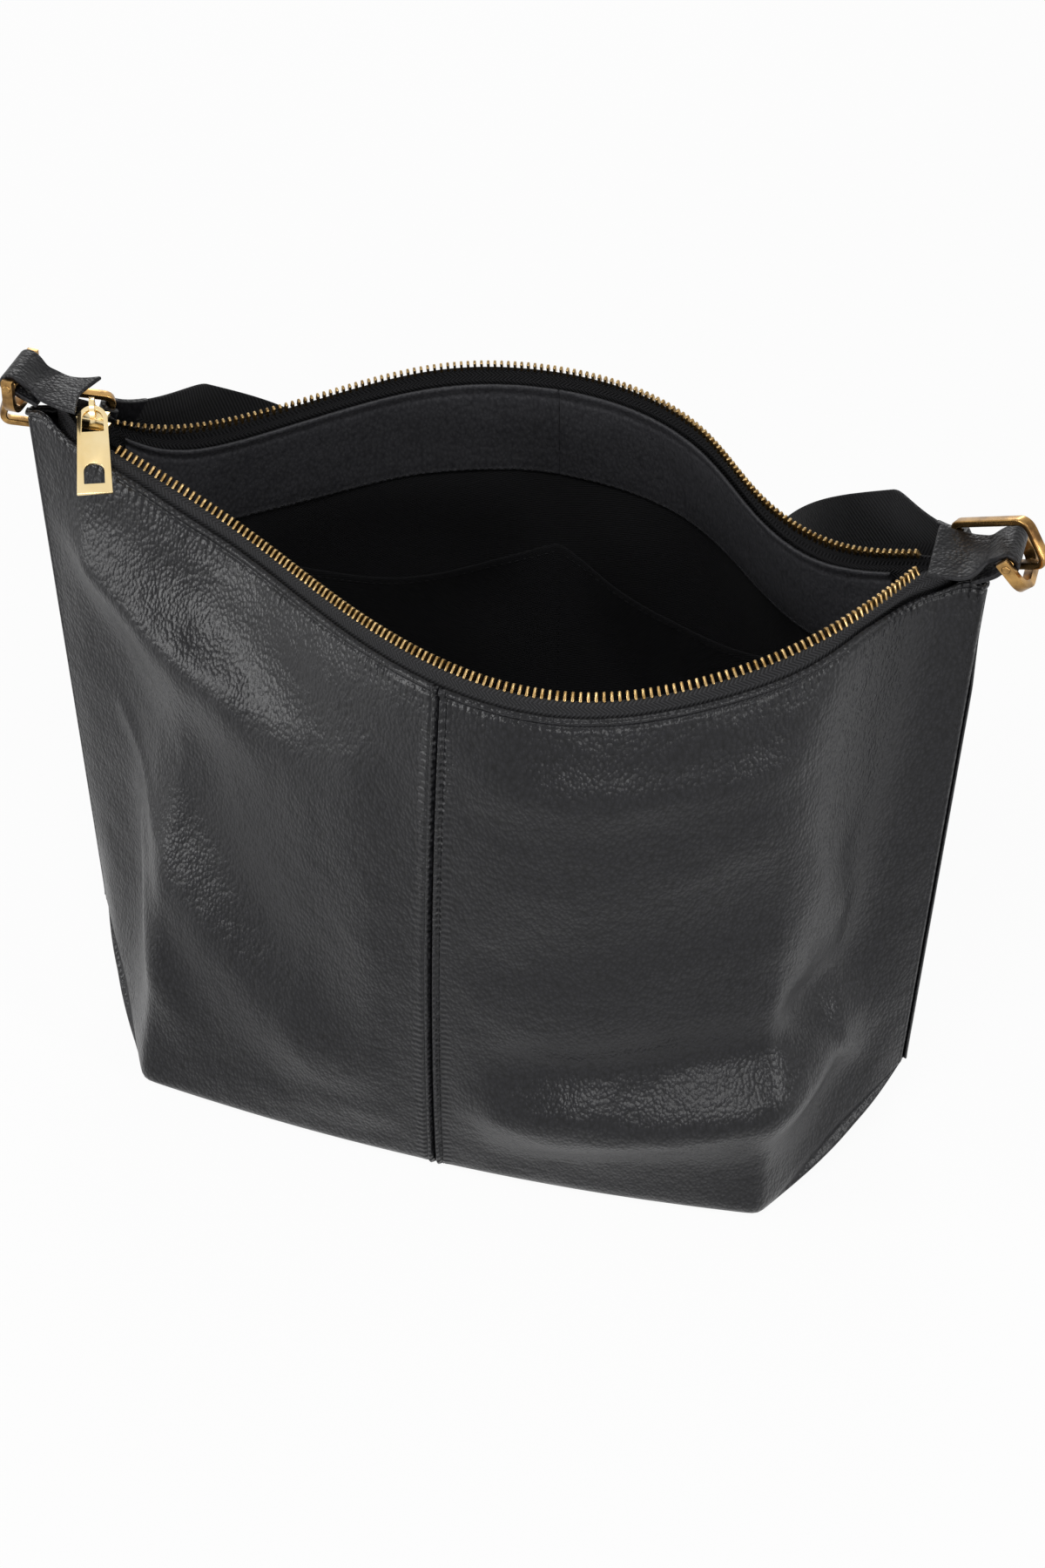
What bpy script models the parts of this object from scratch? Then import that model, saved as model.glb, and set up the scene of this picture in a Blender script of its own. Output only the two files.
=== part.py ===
# Hobo bag with an open zip mouth, a link at each end and a webbing shoulder strap.
# Lengths are in millimetres until the last step. +Z is up, X runs along the width, -Y is the front.
import math

import bmesh
import bpy
import numpy as np
from mathutils import Matrix, Vector

MM = 0.001

# Leather body
LEATHER = 1.6
GAP = 0.2
SEAM_TOP_LEFT = (-170.5, 266.3)
SEAM_TOP_RIGHT = (173.0, 260.5)
APEX_X = 163.0
APEX_Z = 33.0
BASE_X = 123.5
BASE_Y = 68.0
BASE_BOW = 8.0
CORNER_S = 0.203
EDGE_ROUND = 9.0
WALL_BULGE = 7.0
GUSSET_TUCK = 9.0

# Zip, a No. 5 chain: the line of the teeth along the front and the back of the open mouth
TEETH_FRONT = [
    (-151, -4, 265), (-118, -14, 258), (-81, -26, 248.5), (-31, -59, 248.5), (22, -87, 252.7),
    (62, -89, 255), (98, -74, 259.4), (127, -48, 264), (151, -4, 265),
]
TEETH_BACK = [
    (-151, 4, 265), (-129, 15, 255.5), (-100, 41, 250.5), (-53, 78, 254.5), (-15, 90, 256.7),
    (25, 87.5, 256.7), (60, 69, 254.5), (87, 40, 251.4), (119, 16.3, 253.3), (151, 4, 265),
]
RIM_OUT = {-1: 6.0, 1: 3.0}
RIM_DROP = {-1: 7.5, 1: 9.0}
PITCH = 2.5
TOOTH_HIGH = 3.4
TOOTH_THICK = 2.6
TAPE = 0.7
FIRST_TOOTH_X = {-1: -134.0, 1: -142.0}
LAST_TOOTH_X = 149.0

# Inside layers, as offsets inwards from the inner face of the leather
TAPE_IN = 0.4
LINING_IN = (0.4, 1.2)
FACING_IN = (1.6, 2.8)
POCKET_IN = 1.8
POCKET_CLOTH = 0.8
POCKET_GAPE = 9.0
POCKET_S = (0.24, 0.76)

# Rows down the wall as shares of its height, and stations along one half of the mouth
ROWS = (0.0, 0.042, 0.155, 0.28, 0.42, 0.56, 0.70, 0.83)
HALF_STATIONS = (0.0, 0.047, 0.085, 0.122, 0.16, 0.203, 0.245, 0.29, 0.34, 0.39, 0.445, 0.4996)

# End loops, links and strap
PIN_LEFT = (-172.0, 0.0, 281.0)
PIN_RIGHT = (179.0, 0.0, 275.0)
PIN_R = 2.2
PIN_END_R = 1.4
PIN_HOLE_R = 1.47
LOOP_HALF = 9.0
PATCH_HALF = 12.0
TAB = 1.6
BOW_ARM_Y = 10.6
BOW_REACH = 11.0
BOW_THICK = 2.4
BOW_WIDE = 4.0
BOW_HANG_LEFT = 2.0
BOW_HANG_RIGHT = 41.0
RING_LONG = 40.0
RING_WIDE = 19.0
RING_BAR = 2.5
RING_DEEP = 3.4
STRAP_WIDE = 38.0
STRAP_THICK = 1.5
CHAPE = 1.5

# Zip slider and puller
SLIDER_AT = (-145.5, -0.5)
SLIDER_LOW = 262.6
SLIDER_LONG = 10.5
SLIDER_WIDE = 5.8
SLIDER_HIGH = 6.0
BAIL_TURN = -68.2
PULLER_LONG = 34.0
PULLER_TILT = (0.33, -0.82, -0.46)
PULLER_THICK = 1.4

for old in list(bpy.data.objects):
    bpy.data.objects.remove(old, do_unlink=True)
bag = bpy.data.collections.new("hobo_bag")
bpy.context.scene.collection.children.link(bag)
cutters = bpy.data.collections.new("cutters")
bpy.context.scene.collection.children.link(cutters)
cutters.hide_render = True


# Small helpers
def unit(v):
    v = np.asarray(v, float)
    return v / np.linalg.norm(v, axis=-1, keepdims=True)


def smooth_path(points):
    """A natural cubic curve through the points; call it with shares of its length."""
    pts = np.array(points, float)
    steps = np.sqrt(np.linalg.norm(np.diff(pts, axis=0), axis=1))
    knot = np.concatenate([[0.0], np.cumsum(steps)])
    n = len(pts)
    left = np.eye(n)
    right = np.zeros((n, 3))
    for i in range(1, n - 1):
        left[i, i - 1] = steps[i - 1]
        left[i, i] = 2 * (steps[i - 1] + steps[i])
        left[i, i + 1] = steps[i]
        ahead = (pts[i + 1] - pts[i]) / steps[i]
        behind = (pts[i] - pts[i - 1]) / steps[i - 1]
        right[i] = 6 * (ahead - behind)
    bend = np.linalg.solve(left, right)
    fine = []
    for i in range(n - 1):
        h = steps[i]
        u = np.linspace(0, h, 60, endpoint=i == n - 2)[:, None]
        lift = pts[i] + u * ((pts[i + 1] - pts[i]) / h - h * (2 * bend[i] + bend[i + 1]) / 6)
        fine.append(lift + u**2 * bend[i] / 2 + u**3 * (bend[i + 1] - bend[i]) / (6 * h))
    fine = np.concatenate(fine)
    run = np.concatenate([[0.0], np.cumsum(np.linalg.norm(np.diff(fine, axis=0), axis=1))])

    def at(share):
        where = np.atleast_1d(share) * run[-1]
        return np.stack([np.interp(where, run, fine[:, k]) for k in range(3)], axis=-1)

    at.length = run[-1]
    return at


def material(name, colour, metal, rough):
    made = bpy.data.materials.new(name)
    made.use_nodes = True
    shader = made.node_tree.nodes["Principled BSDF"]
    shader.inputs["Base Color"].default_value = (*colour, 1.0)
    shader.inputs["Metallic"].default_value = metal
    shader.inputs["Roughness"].default_value = rough
    return made


LOOKS = {
    "leather": ((0.018, 0.018, 0.02), 0.0, 0.45),
    "cloth": ((0.012, 0.012, 0.013), 0.0, 0.85),
    "webbing": ((0.02, 0.02, 0.022), 0.0, 0.8),
    "brass": ((0.75, 0.5, 0.16), 1.0, 0.25),
    "old_brass": ((0.5, 0.3, 0.13), 1.0, 0.3),
}


def piece(name, verts, faces, look, pivot=(0, 0, 0), smooth=False):
    """One closed solid of the bag, with its origin on the pivot."""
    pivot = np.asarray(pivot, float)
    mesh = bpy.data.meshes.new(name)
    body = bmesh.new()
    made = [body.verts.new(Vector((np.asarray(v) - pivot) * MM)) for v in verts]
    for face in faces:
        corners = []
        for index in face:
            if made[index] not in corners:
                corners.append(made[index])
        if len(corners) > 2 and body.faces.get(corners) is None:
            body.faces.new(corners)
    bmesh.ops.remove_doubles(body, verts=body.verts, dist=0.00001)
    flat = [e for e in body.edges if e.calc_length() < 1e-7]
    bmesh.ops.dissolve_degenerate(body, dist=1e-6, edges=flat)
    loose = [v for v in body.verts if not v.link_faces]
    bmesh.ops.delete(body, geom=loose, context="VERTS")
    bmesh.ops.recalc_face_normals(body, faces=body.faces)
    body.to_mesh(mesh)
    body.free()
    mesh.materials.append(material(name + "_" + look, *LOOKS[look]))
    obj = bpy.data.objects.new(name, mesh)
    obj.location = Vector(pivot * MM)
    bag.objects.link(obj)
    if smooth:
        mesh.shade_smooth()
    return obj


def shell(name, outer, inner, look, smooth=True):
    """A closed sheet between two grids of points, every square cut along the same diagonal."""
    ni, nj = outer.shape[:2]
    verts = np.concatenate([outer.reshape(-1, 3), inner.reshape(-1, 3)])
    far = ni * nj

    def at(i, j, side):
        return i * nj + j + side * far

    faces = []
    for side in (0, 1):
        for i in range(ni - 1):
            for j in range(nj - 1):
                a, b = at(i, j, side), at(i + 1, j, side)
                c, d = at(i + 1, j + 1, side), at(i, j + 1, side)
                faces += [(a, b, c), (a, c, d)]
    rim = [(i, 0) for i in range(ni)]
    rim += [(ni - 1, j) for j in range(1, nj)]
    rim += [(i, nj - 1) for i in range(ni - 2, -1, -1)]
    rim += [(0, j) for j in range(nj - 2, 0, -1)]
    for (i, j), (k, m) in zip(rim, rim[1:] + rim[:1]):
        faces += [(at(i, j, 0), at(k, m, 0), at(k, m, 1)), (at(i, j, 0), at(k, m, 1), at(i, j, 1))]
    return piece(name, verts, faces, look, smooth=smooth)


def band(name, path, across, half, thick, look, closed=False, pivot=(0, 0, 0), smooth=False):
    """A flat strip swept along a path: across is the direction of its width."""
    path = np.asarray(path, float)
    count = len(path)
    across = np.broadcast_to(np.asarray(across, float), (count, 3))
    half = np.broadcast_to(np.asarray(half, float), (count,))
    if closed:
        run = np.roll(path, -1, axis=0) - np.roll(path, 1, axis=0)
    else:
        run = np.gradient(path, axis=0)
    run = unit(run)
    wide = unit(across - run * np.sum(across * run, axis=1, keepdims=True))
    up = np.cross(run, wide)
    verts = []
    for k in range(count):
        for a, b in ((1, 1), (-1, 1), (-1, -1), (1, -1)):
            verts.append(path[k] + a * half[k] * wide[k] + b * thick / 2 * up[k])
    faces = []
    for k in range(count if closed else count - 1):
        n = (k + 1) % count
        for c in range(4):
            d = (c + 1) % 4
            p, q, r, s = 4 * k + c, 4 * n + c, 4 * n + d, 4 * k + d
            faces += [(p, q, r), (p, r, s)]
    if not closed:
        last = 4 * (count - 1)
        faces += [(0, 1, 2), (0, 2, 3), (last, last + 2, last + 1), (last, last + 3, last + 2)]
    return piece(name, verts, faces, look, pivot, smooth)


def turned(name, profile, centre, axis, look):
    """A round pin: the profile is (height, radius) pairs, spun about the axis."""
    mesh = bpy.data.meshes.new(name)
    points = [(radius * MM, 0.0, height * MM) for height, radius in profile]
    mesh.from_pydata(points, [(k, k + 1) for k in range(len(points) - 1)], [])
    mesh.materials.append(material(name + "_" + look, *LOOKS[look]))
    obj = bpy.data.objects.new(name, mesh)
    bag.objects.link(obj)
    spin = obj.modifiers.new("spin", "SCREW")
    spin.steps = 24
    spin.render_steps = 24
    spin.use_merge_vertices = True
    spin.merge_threshold = 0.00001
    spin.use_smooth_shade = True
    spin.use_normal_calculate = True
    spin.use_normal_flip = True
    turn = Vector(axis).to_track_quat("Z", "Y").to_matrix().to_4x4()
    obj.matrix_world = Matrix.Translation(Vector(centre) * MM) @ turn
    return obj


def cutter(name, verts_faces):
    mesh = bpy.data.meshes.new(name)
    verts, faces = verts_faces
    mesh.from_pydata([tuple(np.asarray(v) * MM) for v in verts], [], faces)
    obj = bpy.data.objects.new(name, mesh)
    cutters.objects.link(obj)
    obj.hide_render = True
    obj.display_type = "WIRE"
    return obj


def round_bar(start, end, radius, sides=20):
    start = np.asarray(start, float)
    end = np.asarray(end, float)
    run = unit(end - start)
    side = unit(np.cross(run, (0.3, 0.2, 1.0)))
    other = np.cross(run, side)
    verts = []
    for spot in (start, end):
        for k in range(sides):
            a = 2 * math.pi * k / sides
            verts.append(spot + radius * (math.cos(a) * side + math.sin(a) * other))
    faces = [tuple(range(sides - 1, -1, -1)), tuple(range(sides, 2 * sides))]
    for k in range(sides):
        n = (k + 1) % sides
        faces.append((k, n, sides + n, sides + k))
    return verts, faces


def box(low, high):
    verts = [(x, y, z) for z in (low[2], high[2]) for y in (low[1], high[1]) for x in (low[0], high[0])]
    faces = [(0, 2, 3, 1), (4, 5, 7, 6), (0, 1, 5, 4), (2, 6, 7, 3), (0, 4, 6, 2), (1, 3, 7, 5)]
    return verts, faces


def boolean(obj, tool, how):
    step = obj.modifiers.new(tool.name, "BOOLEAN")
    step.operation = how
    step.solver = "EXACT"
    step.object = tool


# The body's reference surface is the inner face of the leather, for the front (-1) or back (1)
def rim_path(side):
    teeth = np.array(TEETH_FRONT if side < 0 else TEETH_BACK, float)
    run = unit(np.gradient(teeth, axis=0))
    out = unit(np.stack([-side * run[:, 1], side * run[:, 0], 0 * run[:, 0]], axis=-1))
    ease = np.minimum(1.0, (151.0 - np.abs(teeth[:, :1])) / 30.0)
    shift = 4.0 + (RIM_OUT[side] - 4.0) * ease
    drop = 8.0 + (RIM_DROP[side] - 8.0) * ease
    inner = teeth + out * shift - np.array([0, 0, 1.0]) * drop
    inner[0] = (-152, side * 8.0, 262.5)
    inner[-1] = (152, side * 8.0, 257)
    ends = np.array([(x, side * GAP, z) for x, z in (SEAM_TOP_LEFT, SEAM_TOP_RIGHT)])
    return smooth_path(np.concatenate([ends[:1], inner, ends[1:]]))


RIMS = {side: rim_path(side) for side in (-1, 1)}
TEETH = {-1: smooth_path(TEETH_FRONT), 1: smooth_path(TEETH_BACK)}


def bottom_edge(side, s):
    """Where the wall turns under: the boxed corner's seam, then the long bottom edge."""
    if s <= CORNER_S or s >= 1 - CORNER_S:
        hand = -1 if s < 0.5 else 1
        share = min(1.0, (s if hand < 0 else 1 - s) / CORNER_S)
        x = hand * (APEX_X + (BASE_X - APEX_X) * share)
        z = LEATHER + (APEX_Z - LEATHER) * (1 - share) ** 1.2
        return np.array([x, side * (GAP + (BASE_Y - GAP) * share), z])
    x = BASE_X * (2 * (s - CORNER_S) / (1 - 2 * CORNER_S) - 1)
    return np.array([x, side * (BASE_Y + BASE_BOW * (1 - (x / BASE_X) ** 2)), LEATHER])


def wall_point(side, s, share):
    rim = RIMS[side](s)[0]
    low = bottom_edge(side, s)
    lean = (s - 0.5) * 2 * math.radians(65)
    out = np.array([math.sin(lean), side * math.cos(lean), 0])
    hand = min(s, 1 - s) / CORNER_S
    tuck = GUSSET_TUCK * math.sin(math.pi * min(hand, 1.0)) ** 2
    bulge = WALL_BULGE * min(1.0, max(0.0, (hand - 1.0) / 0.8))
    swell = 4 * share * (1 - share)
    fold = 27 / 4 * share**2 * (1 - share)
    return rim + (low - rim) * share + out * (bulge * swell - tuck * fold)


def profile(side, s, rows):
    """Points from the rim down the wall, round the bottom edge and in to the middle of the base."""
    low = bottom_edge(side, s)
    keel = np.array([low[0], side * GAP, low[2]])
    points = [wall_point(side, s, share) for share in rows]
    height = np.linalg.norm(wall_point(side, s, 1.0) - wall_point(side, s, 0.8)) / 0.2
    inward = np.linalg.norm(keel - low)
    turn = min(EDGE_ROUND, 0.3 * inward + 0.2)
    start = wall_point(side, s, 1 - turn / height)
    stop = low + (keel - low) * (turn / inward if inward > 1e-6 else 0.0)
    for v in (0.0, 0.33, 0.67, 1.0):
        points.append((1 - v) ** 2 * start + 2 * v * (1 - v) * low + v**2 * stop)
    points.append(stop + (keel - stop) * 0.5)
    points.append(keel)
    return np.array(points)


def surface(side, stations, rows):
    """The grid of points and its outward normals."""
    spots = np.array([profile(side, s, rows) for s in stations])
    step = 0.004
    normals = np.zeros_like(spots)
    for i, s in enumerate(stations):
        before = profile(side, max(0.0, s - step), rows)
        after = profile(side, min(1.0, s + step), rows)
        along = after - before
        down = np.gradient(spots[i], axis=0)
        thin = np.linalg.norm(down, axis=1) < 1e-6
        down[thin] = (0, -side, 0)
        normals[i] = unit(np.cross(along, down) * side)
    if stations[0] < 0.01:
        normals[0, len(rows) + 1:] = unit((-1.0, 0, -0.25))
    if stations[-1] > 0.99:
        normals[-1, len(rows) + 1:] = unit((1.0, 0, -0.25))
    return spots, normals


LEFT = np.array(HALF_STATIONS)
RIGHT = 1 - LEFT[::-1]

# Leather panels: each one runs from the rim down the wall and under to the middle of the base
for side, face in ((-1, "front"), (1, "back")):
    for hand, stations in (("left", LEFT), ("right", RIGHT)):
        inside, normal = surface(side, stations, ROWS)
        outside = inside + LEATHER * normal
        if side < 0:
            outside[..., 1] = np.minimum(outside[..., 1], -GAP)
        else:
            outside[..., 1] = np.maximum(outside[..., 1], GAP)
        outside[..., 2] = np.maximum(outside[..., 2], 0.0)
        shell(f"{face}_{hand}_panel", outside, inside, "leather")

# Facings: a leather band round the inside of the mouth, in two halves on each side
for side, face in ((-1, "front"), (1, "back")):
    for hand, stations in (("left", LEFT[2:]), ("right", RIGHT[:-2])):
        spots, normal = surface(side, stations, (0.006, 0.042, 0.155))
        spots = spots[:, :3]
        normal = normal[:, :3]
        near, far = FACING_IN
        shell(f"{face}_{hand}_facing", spots - near * normal, spots - far * normal, "leather")

# Lining: one cloth piece behind each face, from under the zip tape down to the base
BOTH = np.concatenate([LEFT[:-1], [0.5], RIGHT[1:]])
LINING_ROWS = (0.05,) + ROWS[2:]
for side, face in ((-1, "front"), (1, "back")):
    spots, normal = surface(side, BOTH, LINING_ROWS)
    layers = []
    for depth in LINING_IN:
        layer = spots - depth * normal
        for end, beside in ((0, 1), (-1, -2)):
            step = spots[beside] - spots[end]
            room = np.maximum(side * step[:, 1:2], 1.0)
            share = np.clip(depth * side * normal[beside][:, 1:2] / room, 0.02, 0.6)
            share[len(LINING_ROWS) - 2:] = 0.45
            clear = np.where(np.arange(len(spots[end])) >= len(LINING_ROWS) - 2, 1.5, 0.0)[:, None]
            layer[end] = spots[end] + share * step - (depth + clear) * normal[beside]
        layer[..., 1] = side * np.maximum(side * layer[..., 1], GAP)
        layers.append(layer)
    shell(f"{face}_lining", layers[0], layers[1], "cloth")

# Slip pocket on the back lining: stitched at the sides, the bottom and the middle, and gaping at the top
inside_s = [s for s in BOTH if POCKET_S[0] <= s <= POCKET_S[1]]
spots, normal = surface(1, inside_s, ROWS[3:])
spots = spots[:, :5]
normal = normal[:, :5]
gape = np.zeros(spots.shape[:2])
for i, s in enumerate(inside_s):
    part = (s - POCKET_S[0]) / (POCKET_S[1] - POCKET_S[0])
    swing = abs(math.sin(2 * math.pi * part))
    for j in range(5):
        gape[i, j] = POCKET_GAPE * swing * (1 - j / 4) ** 1.3
    spots[i, 0] += (spots[i, 1] - spots[i, 0]) * 0.35 * swing
depth = POCKET_IN + gape[..., None]
shell("slip_pocket", spots - depth * normal, spots - (depth + POCKET_CLOTH) * normal, "cloth")


# Zip tape and teeth: the tape stands out of the rim, and the teeth sit along its edge
ZIP_START = 16.0
TAIL_LEFT = (-159.0, 274.2)
TAIL_RIGHT = (161.0, 268.0)
TAIL_Y = 0.7


def zip_share(side, s):
    """The share of the tooth line that lies above this share of the rim."""
    whole = RIMS[side].length
    return np.clip((s * whole - ZIP_START) / (whole - 2 * ZIP_START), 0.0, 1.0)


def zip_frame(side, share):
    """Point on the tooth line, direction along it, direction up the tape, and the tape's normal."""
    spot = TEETH[side](share)
    run = unit(TEETH[side](np.minimum(1.0, share + 0.004)) - TEETH[side](np.maximum(0.0, share - 0.004)))
    whole = RIMS[side].length
    rim = RIMS[side]((ZIP_START + share * (whole - 2 * ZIP_START)) / whole)
    up = spot - rim
    up = unit(up - run * np.sum(up * run, axis=1, keepdims=True))
    return spot, run, up, np.cross(run, up)


for side, face in ((-1, "front"), (1, "back")):
    stations = BOTH[1:-1]
    spots, normal = surface(side, stations, (0.0, 0.04))
    middle = spots[:, :2] - (TAPE_IN + TAPE / 2) * normal[:, :2]
    spot, run, up, flat = zip_frame(side, zip_share(side, stations))
    top = spot - 2.3 * up
    flat = flat * np.sign(np.sum(flat * normal[:, 0], axis=1, keepdims=True))
    grid = np.stack([top, middle[:, 0], middle[:, 1]], axis=1)
    face_dir = np.stack([flat, normal[:, 0], normal[:, 1]], axis=1)
    tails = [[(x, side * TAIL_Y, z - drop) for drop in (0, 6, 11)] for x, z in (TAIL_LEFT, TAIL_RIGHT)]
    grid = np.concatenate([tails[:1], grid, tails[1:]])
    ends = np.broadcast_to(np.array([0.0, side, 0.0]), (1, 3, 3))
    face_dir = np.concatenate([ends, face_dir, ends])
    half = TAPE / 2
    shell(f"{face}_zip_tape", grid + half * face_dir, grid - half * face_dir, "cloth")

    fine = TEETH[side](np.linspace(0, 1, 2000))
    first = np.argmax(fine[:, 0] > FIRST_TOOTH_X[side]) / 1999
    last = np.argmax(fine[:, 0] > LAST_TOOTH_X) / 1999
    count = int((last - first) * TEETH[side].length / PITCH)
    share = first + np.arange(2 * count + 1) * (PITCH / 2) / TEETH[side].length
    spot, run, up, flat = zip_frame(side, share)
    tooth = np.arange(len(share)) % 2 == 1
    tall = np.where(tooth, TOOTH_HIGH - 1.5, 0.1)[:, None]
    wide = np.where(tooth, TOOTH_THICK / 2, 0.75)[:, None]
    verts = np.stack([
        spot - 1.45 * up + wide * flat, spot - 1.45 * up - wide * flat,
        spot + tall * up - wide * flat, spot + tall * up + wide * flat,
    ], axis=1).reshape(-1, 3)
    faces = [(0, 1, 2), (0, 2, 3)]
    for k in range(len(share) - 1):
        for c in range(4):
            d = (c + 1) % 4
            p, q, r, t = 4 * k + c, 4 * k + 4 + c, 4 * k + 4 + d, 4 * k + d
            faces += [(p, q, r), (p, r, t)]
    end = 4 * (len(share) - 1)
    faces += [(end, end + 2, end + 1), (end, end + 3, end + 2)]
    piece(f"{face}_zip_teeth", verts, faces, "brass")

# Zip slider: two plates on a post, with an arched bail on top
sx, sy = SLIDER_AT
low = SLIDER_LOW
high = low + SLIDER_HIGH
long = SLIDER_LONG / 2
wide = SLIDER_WIDE / 2
verts, faces = box((sx - long, sy - wide, high - 1.5), (sx + long, sy + wide, high))
slider = piece("zip_slider", verts, faces, "brass", pivot=(sx, sy, (low + high) / 2))
plate = cutter("slider_lower_plate", box((sx - long, sy - wide, low), (sx + long, sy + wide, low + 1.5)))
boolean(slider, plate, "UNION")
post = cutter("slider_post", box((sx - 1.5, sy - 1.0, low + 0.5), (sx + long - 0.5, sy + 1.0, high - 0.5)))
boolean(slider, post, "UNION")
turn = math.radians(BAIL_TURN)
along = np.array([math.cos(turn), math.sin(turn), 0])
sideways = np.array([-math.sin(turn), math.cos(turn), 0])
arch = []
for k in range(13):
    a = math.pi * k / 12
    reach = 3.8 * math.copysign(abs(math.cos(a)) ** 0.7, math.cos(a))
    arch.append(np.array([sx, sy, high]) - reach * along + np.array([0, 0, 5.4 * math.sin(a) ** 0.8]))
arch = [arch[0] - np.array([0, 0, 1.0])] + arch + [arch[-1] - np.array([0, 0, 1.0])]
bail = band("bail_tool", arch, sideways, 0.9, 1.3, "brass")
bag.objects.unlink(bail)
cutters.objects.link(bail)
bail.hide_render = True
bail.display_type = "WIRE"
boolean(slider, bail, "UNION")

# Zip puller: a flat plate with an arched opening at the top and a D-shaped hole near the end
pivot = np.array([sx, sy, high]) + 0.9 * along + np.array([0, 0, 3.0])
hang = unit(PULLER_TILT)
hinge = unit(np.array([-hang[1], hang[0], 0]))
outline = bpy.data.curves.new("puller_outline", "CURVE")
outline.dimensions = "2D"
outline.fill_mode = "BOTH"
outline.extrude = PULLER_THICK / 2 * MM
outline.resolution_u = 1


def loop(points):
    spline = outline.splines.new("POLY")
    spline.points.add(len(points) - 1)
    for spot, (x, y) in zip(spline.points, points):
        spot.co = (x * MM, y * MM, 0, 1)
    spline.use_cyclic_u = True


def arch_line(half, top, shoulder, bottom, low_half):
    """Half circle-like top of the given half width, straight sides down to the bottom."""
    points = []
    for k in range(13):
        a = math.pi * k / 12
        points.append((half * math.cos(a), shoulder + (top - shoulder) * math.sin(a)))
    return points + [(-low_half, bottom), (low_half, bottom)]


loop(arch_line(5.3, 0.9, -4.6, -PULLER_LONG, 6.2))
loop(arch_line(3.7, -0.8, -4.8, -9.6, 3.9))
loop(arch_line(3.6, -22.0, -25.4, -30.2, 3.6))
puller_curve = bpy.data.objects.new("puller_shape", outline)
bag.objects.link(puller_curve)
bpy.context.view_layer.update()
graph = bpy.context.evaluated_depsgraph_get()
flat_mesh = bpy.data.meshes.new_from_object(puller_curve.evaluated_get(graph))
bpy.data.objects.remove(puller_curve, do_unlink=True)
lift = np.cross(hinge, -hang)
verts = []
for v in flat_mesh.vertices:
    x, y, z = (c / MM for c in v.co)
    verts.append(pivot + x * hinge - y * hang + z * lift)
faces = [tuple(p.vertices) for p in flat_mesh.polygons]
piece("zip_puller", verts, faces, "brass", pivot=pivot)


# End tabs: a leather strip round the pin, with its wide end over the end of the zip
def end_tab(name, pin, hand, patch, under):
    px, _, pz = pin
    turn_r = PIN_R + 0.35 + TAB / 2
    path = list(patch)
    for k in range(15):
        a = math.radians(118 - 230 * k / 14)
        path.append((px + hand * turn_r * math.cos(a), pz + turn_r * math.sin(a)))
    path += list(under)
    wide = [PATCH_HALF] * (len(patch) - 2) + [LOOP_HALF + 1.2, LOOP_HALF]
    wide += [LOOP_HALF] * (15 + len(under))
    points = [(x, 0, z) for x, z in path]
    band(name, points, (0, hand, 0), wide, TAB, "leather", smooth=False)


end_tab(
    "left_end_tab", PIN_LEFT, -1,
    [(-146.5, 276.0), (-151, 275.5), (-156, 275.6), (-161, 277.0), (-166.5, 281.2)],
    [(-169.3, 277.0), (-166.0, 275.6), (-162.5, 273.9)],
)
end_tab(
    "right_end_tab", PIN_RIGHT, 1,
    [(153.5, 269.2), (158, 269.4), (163, 269.2), (168, 270.4), (173.5, 275.2)],
    [(176.0, 270.0), (172.0, 267.4), (168.0, 265.4)],
)

# Pins through the loops: thick in the leather, stepped down through the arms of the bow
for name, pin in (("left_pin", PIN_LEFT), ("right_pin", PIN_RIGHT)):
    inner = BOW_ARM_Y - BOW_THICK / 2 - 0.25
    outer = BOW_ARM_Y + BOW_THICK / 2 + 0.25
    steps = [(-outer, 0), (-outer, PIN_END_R), (-inner, PIN_END_R), (-inner, PIN_R)]
    steps += [(inner, PIN_R), (inner, PIN_END_R), (outer, PIN_END_R), (outer, 0)]
    turned(name, steps, pin, (0, 1, 0), "old_brass")


# Bows: a flat band bent round from one end of the pin to the other
def bow(name, pin, degrees):
    pin = np.asarray(pin, float)
    hand = 1 if pin[0] > 0 else -1
    a = math.radians(degrees)
    reach = np.array([hand * math.sin(a), 0, -math.cos(a)])
    across = np.array([0, 1.0, 0])
    corner = 5.5
    flat = [(-BOW_ARM_Y, -2.7), (-BOW_ARM_Y, 0), (-BOW_ARM_Y, BOW_REACH - corner)]
    for k in range(1, 7):
        t = math.pi / 2 * k / 6
        flat.append((-BOW_ARM_Y + corner * (1 - math.cos(t)), BOW_REACH - corner * (1 - math.sin(t))))
    flat += [(-y, r) for y, r in reversed(flat)]
    path = [pin + y * across + r * reach for y, r in flat]
    normal = np.cross(across, reach)
    made = band(name, path, normal, BOW_WIDE / 2, BOW_THICK, "old_brass", pivot=pin)
    hole = cutter(name + "_hole", round_bar(pin - 14 * across, pin + 14 * across, PIN_HOLE_R, 24))
    boolean(made, hole, "DIFFERENCE")


bow("left_bow", PIN_LEFT, BOW_HANG_LEFT)
bow("right_bow", PIN_RIGHT, BOW_HANG_RIGHT)


# Link rings between the bows and the strap: flat rounded rings
def ring_frame(turn, tilt, lean, hand):
    """Long axis from the strap end to the bow end, and the upward width axis."""
    a, t, p = (math.radians(v) for v in (turn, tilt, lean))
    long_way = np.array([hand * math.cos(a) * math.cos(t), -math.sin(a) * math.cos(t), math.sin(t)])
    up = unit(np.array([0, 0, 1.0]) - long_way[2] * long_way)
    front = np.array([-hand * math.sin(a), -math.cos(a), 0])
    return long_way, up * math.cos(p) - front * math.sin(p)


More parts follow.
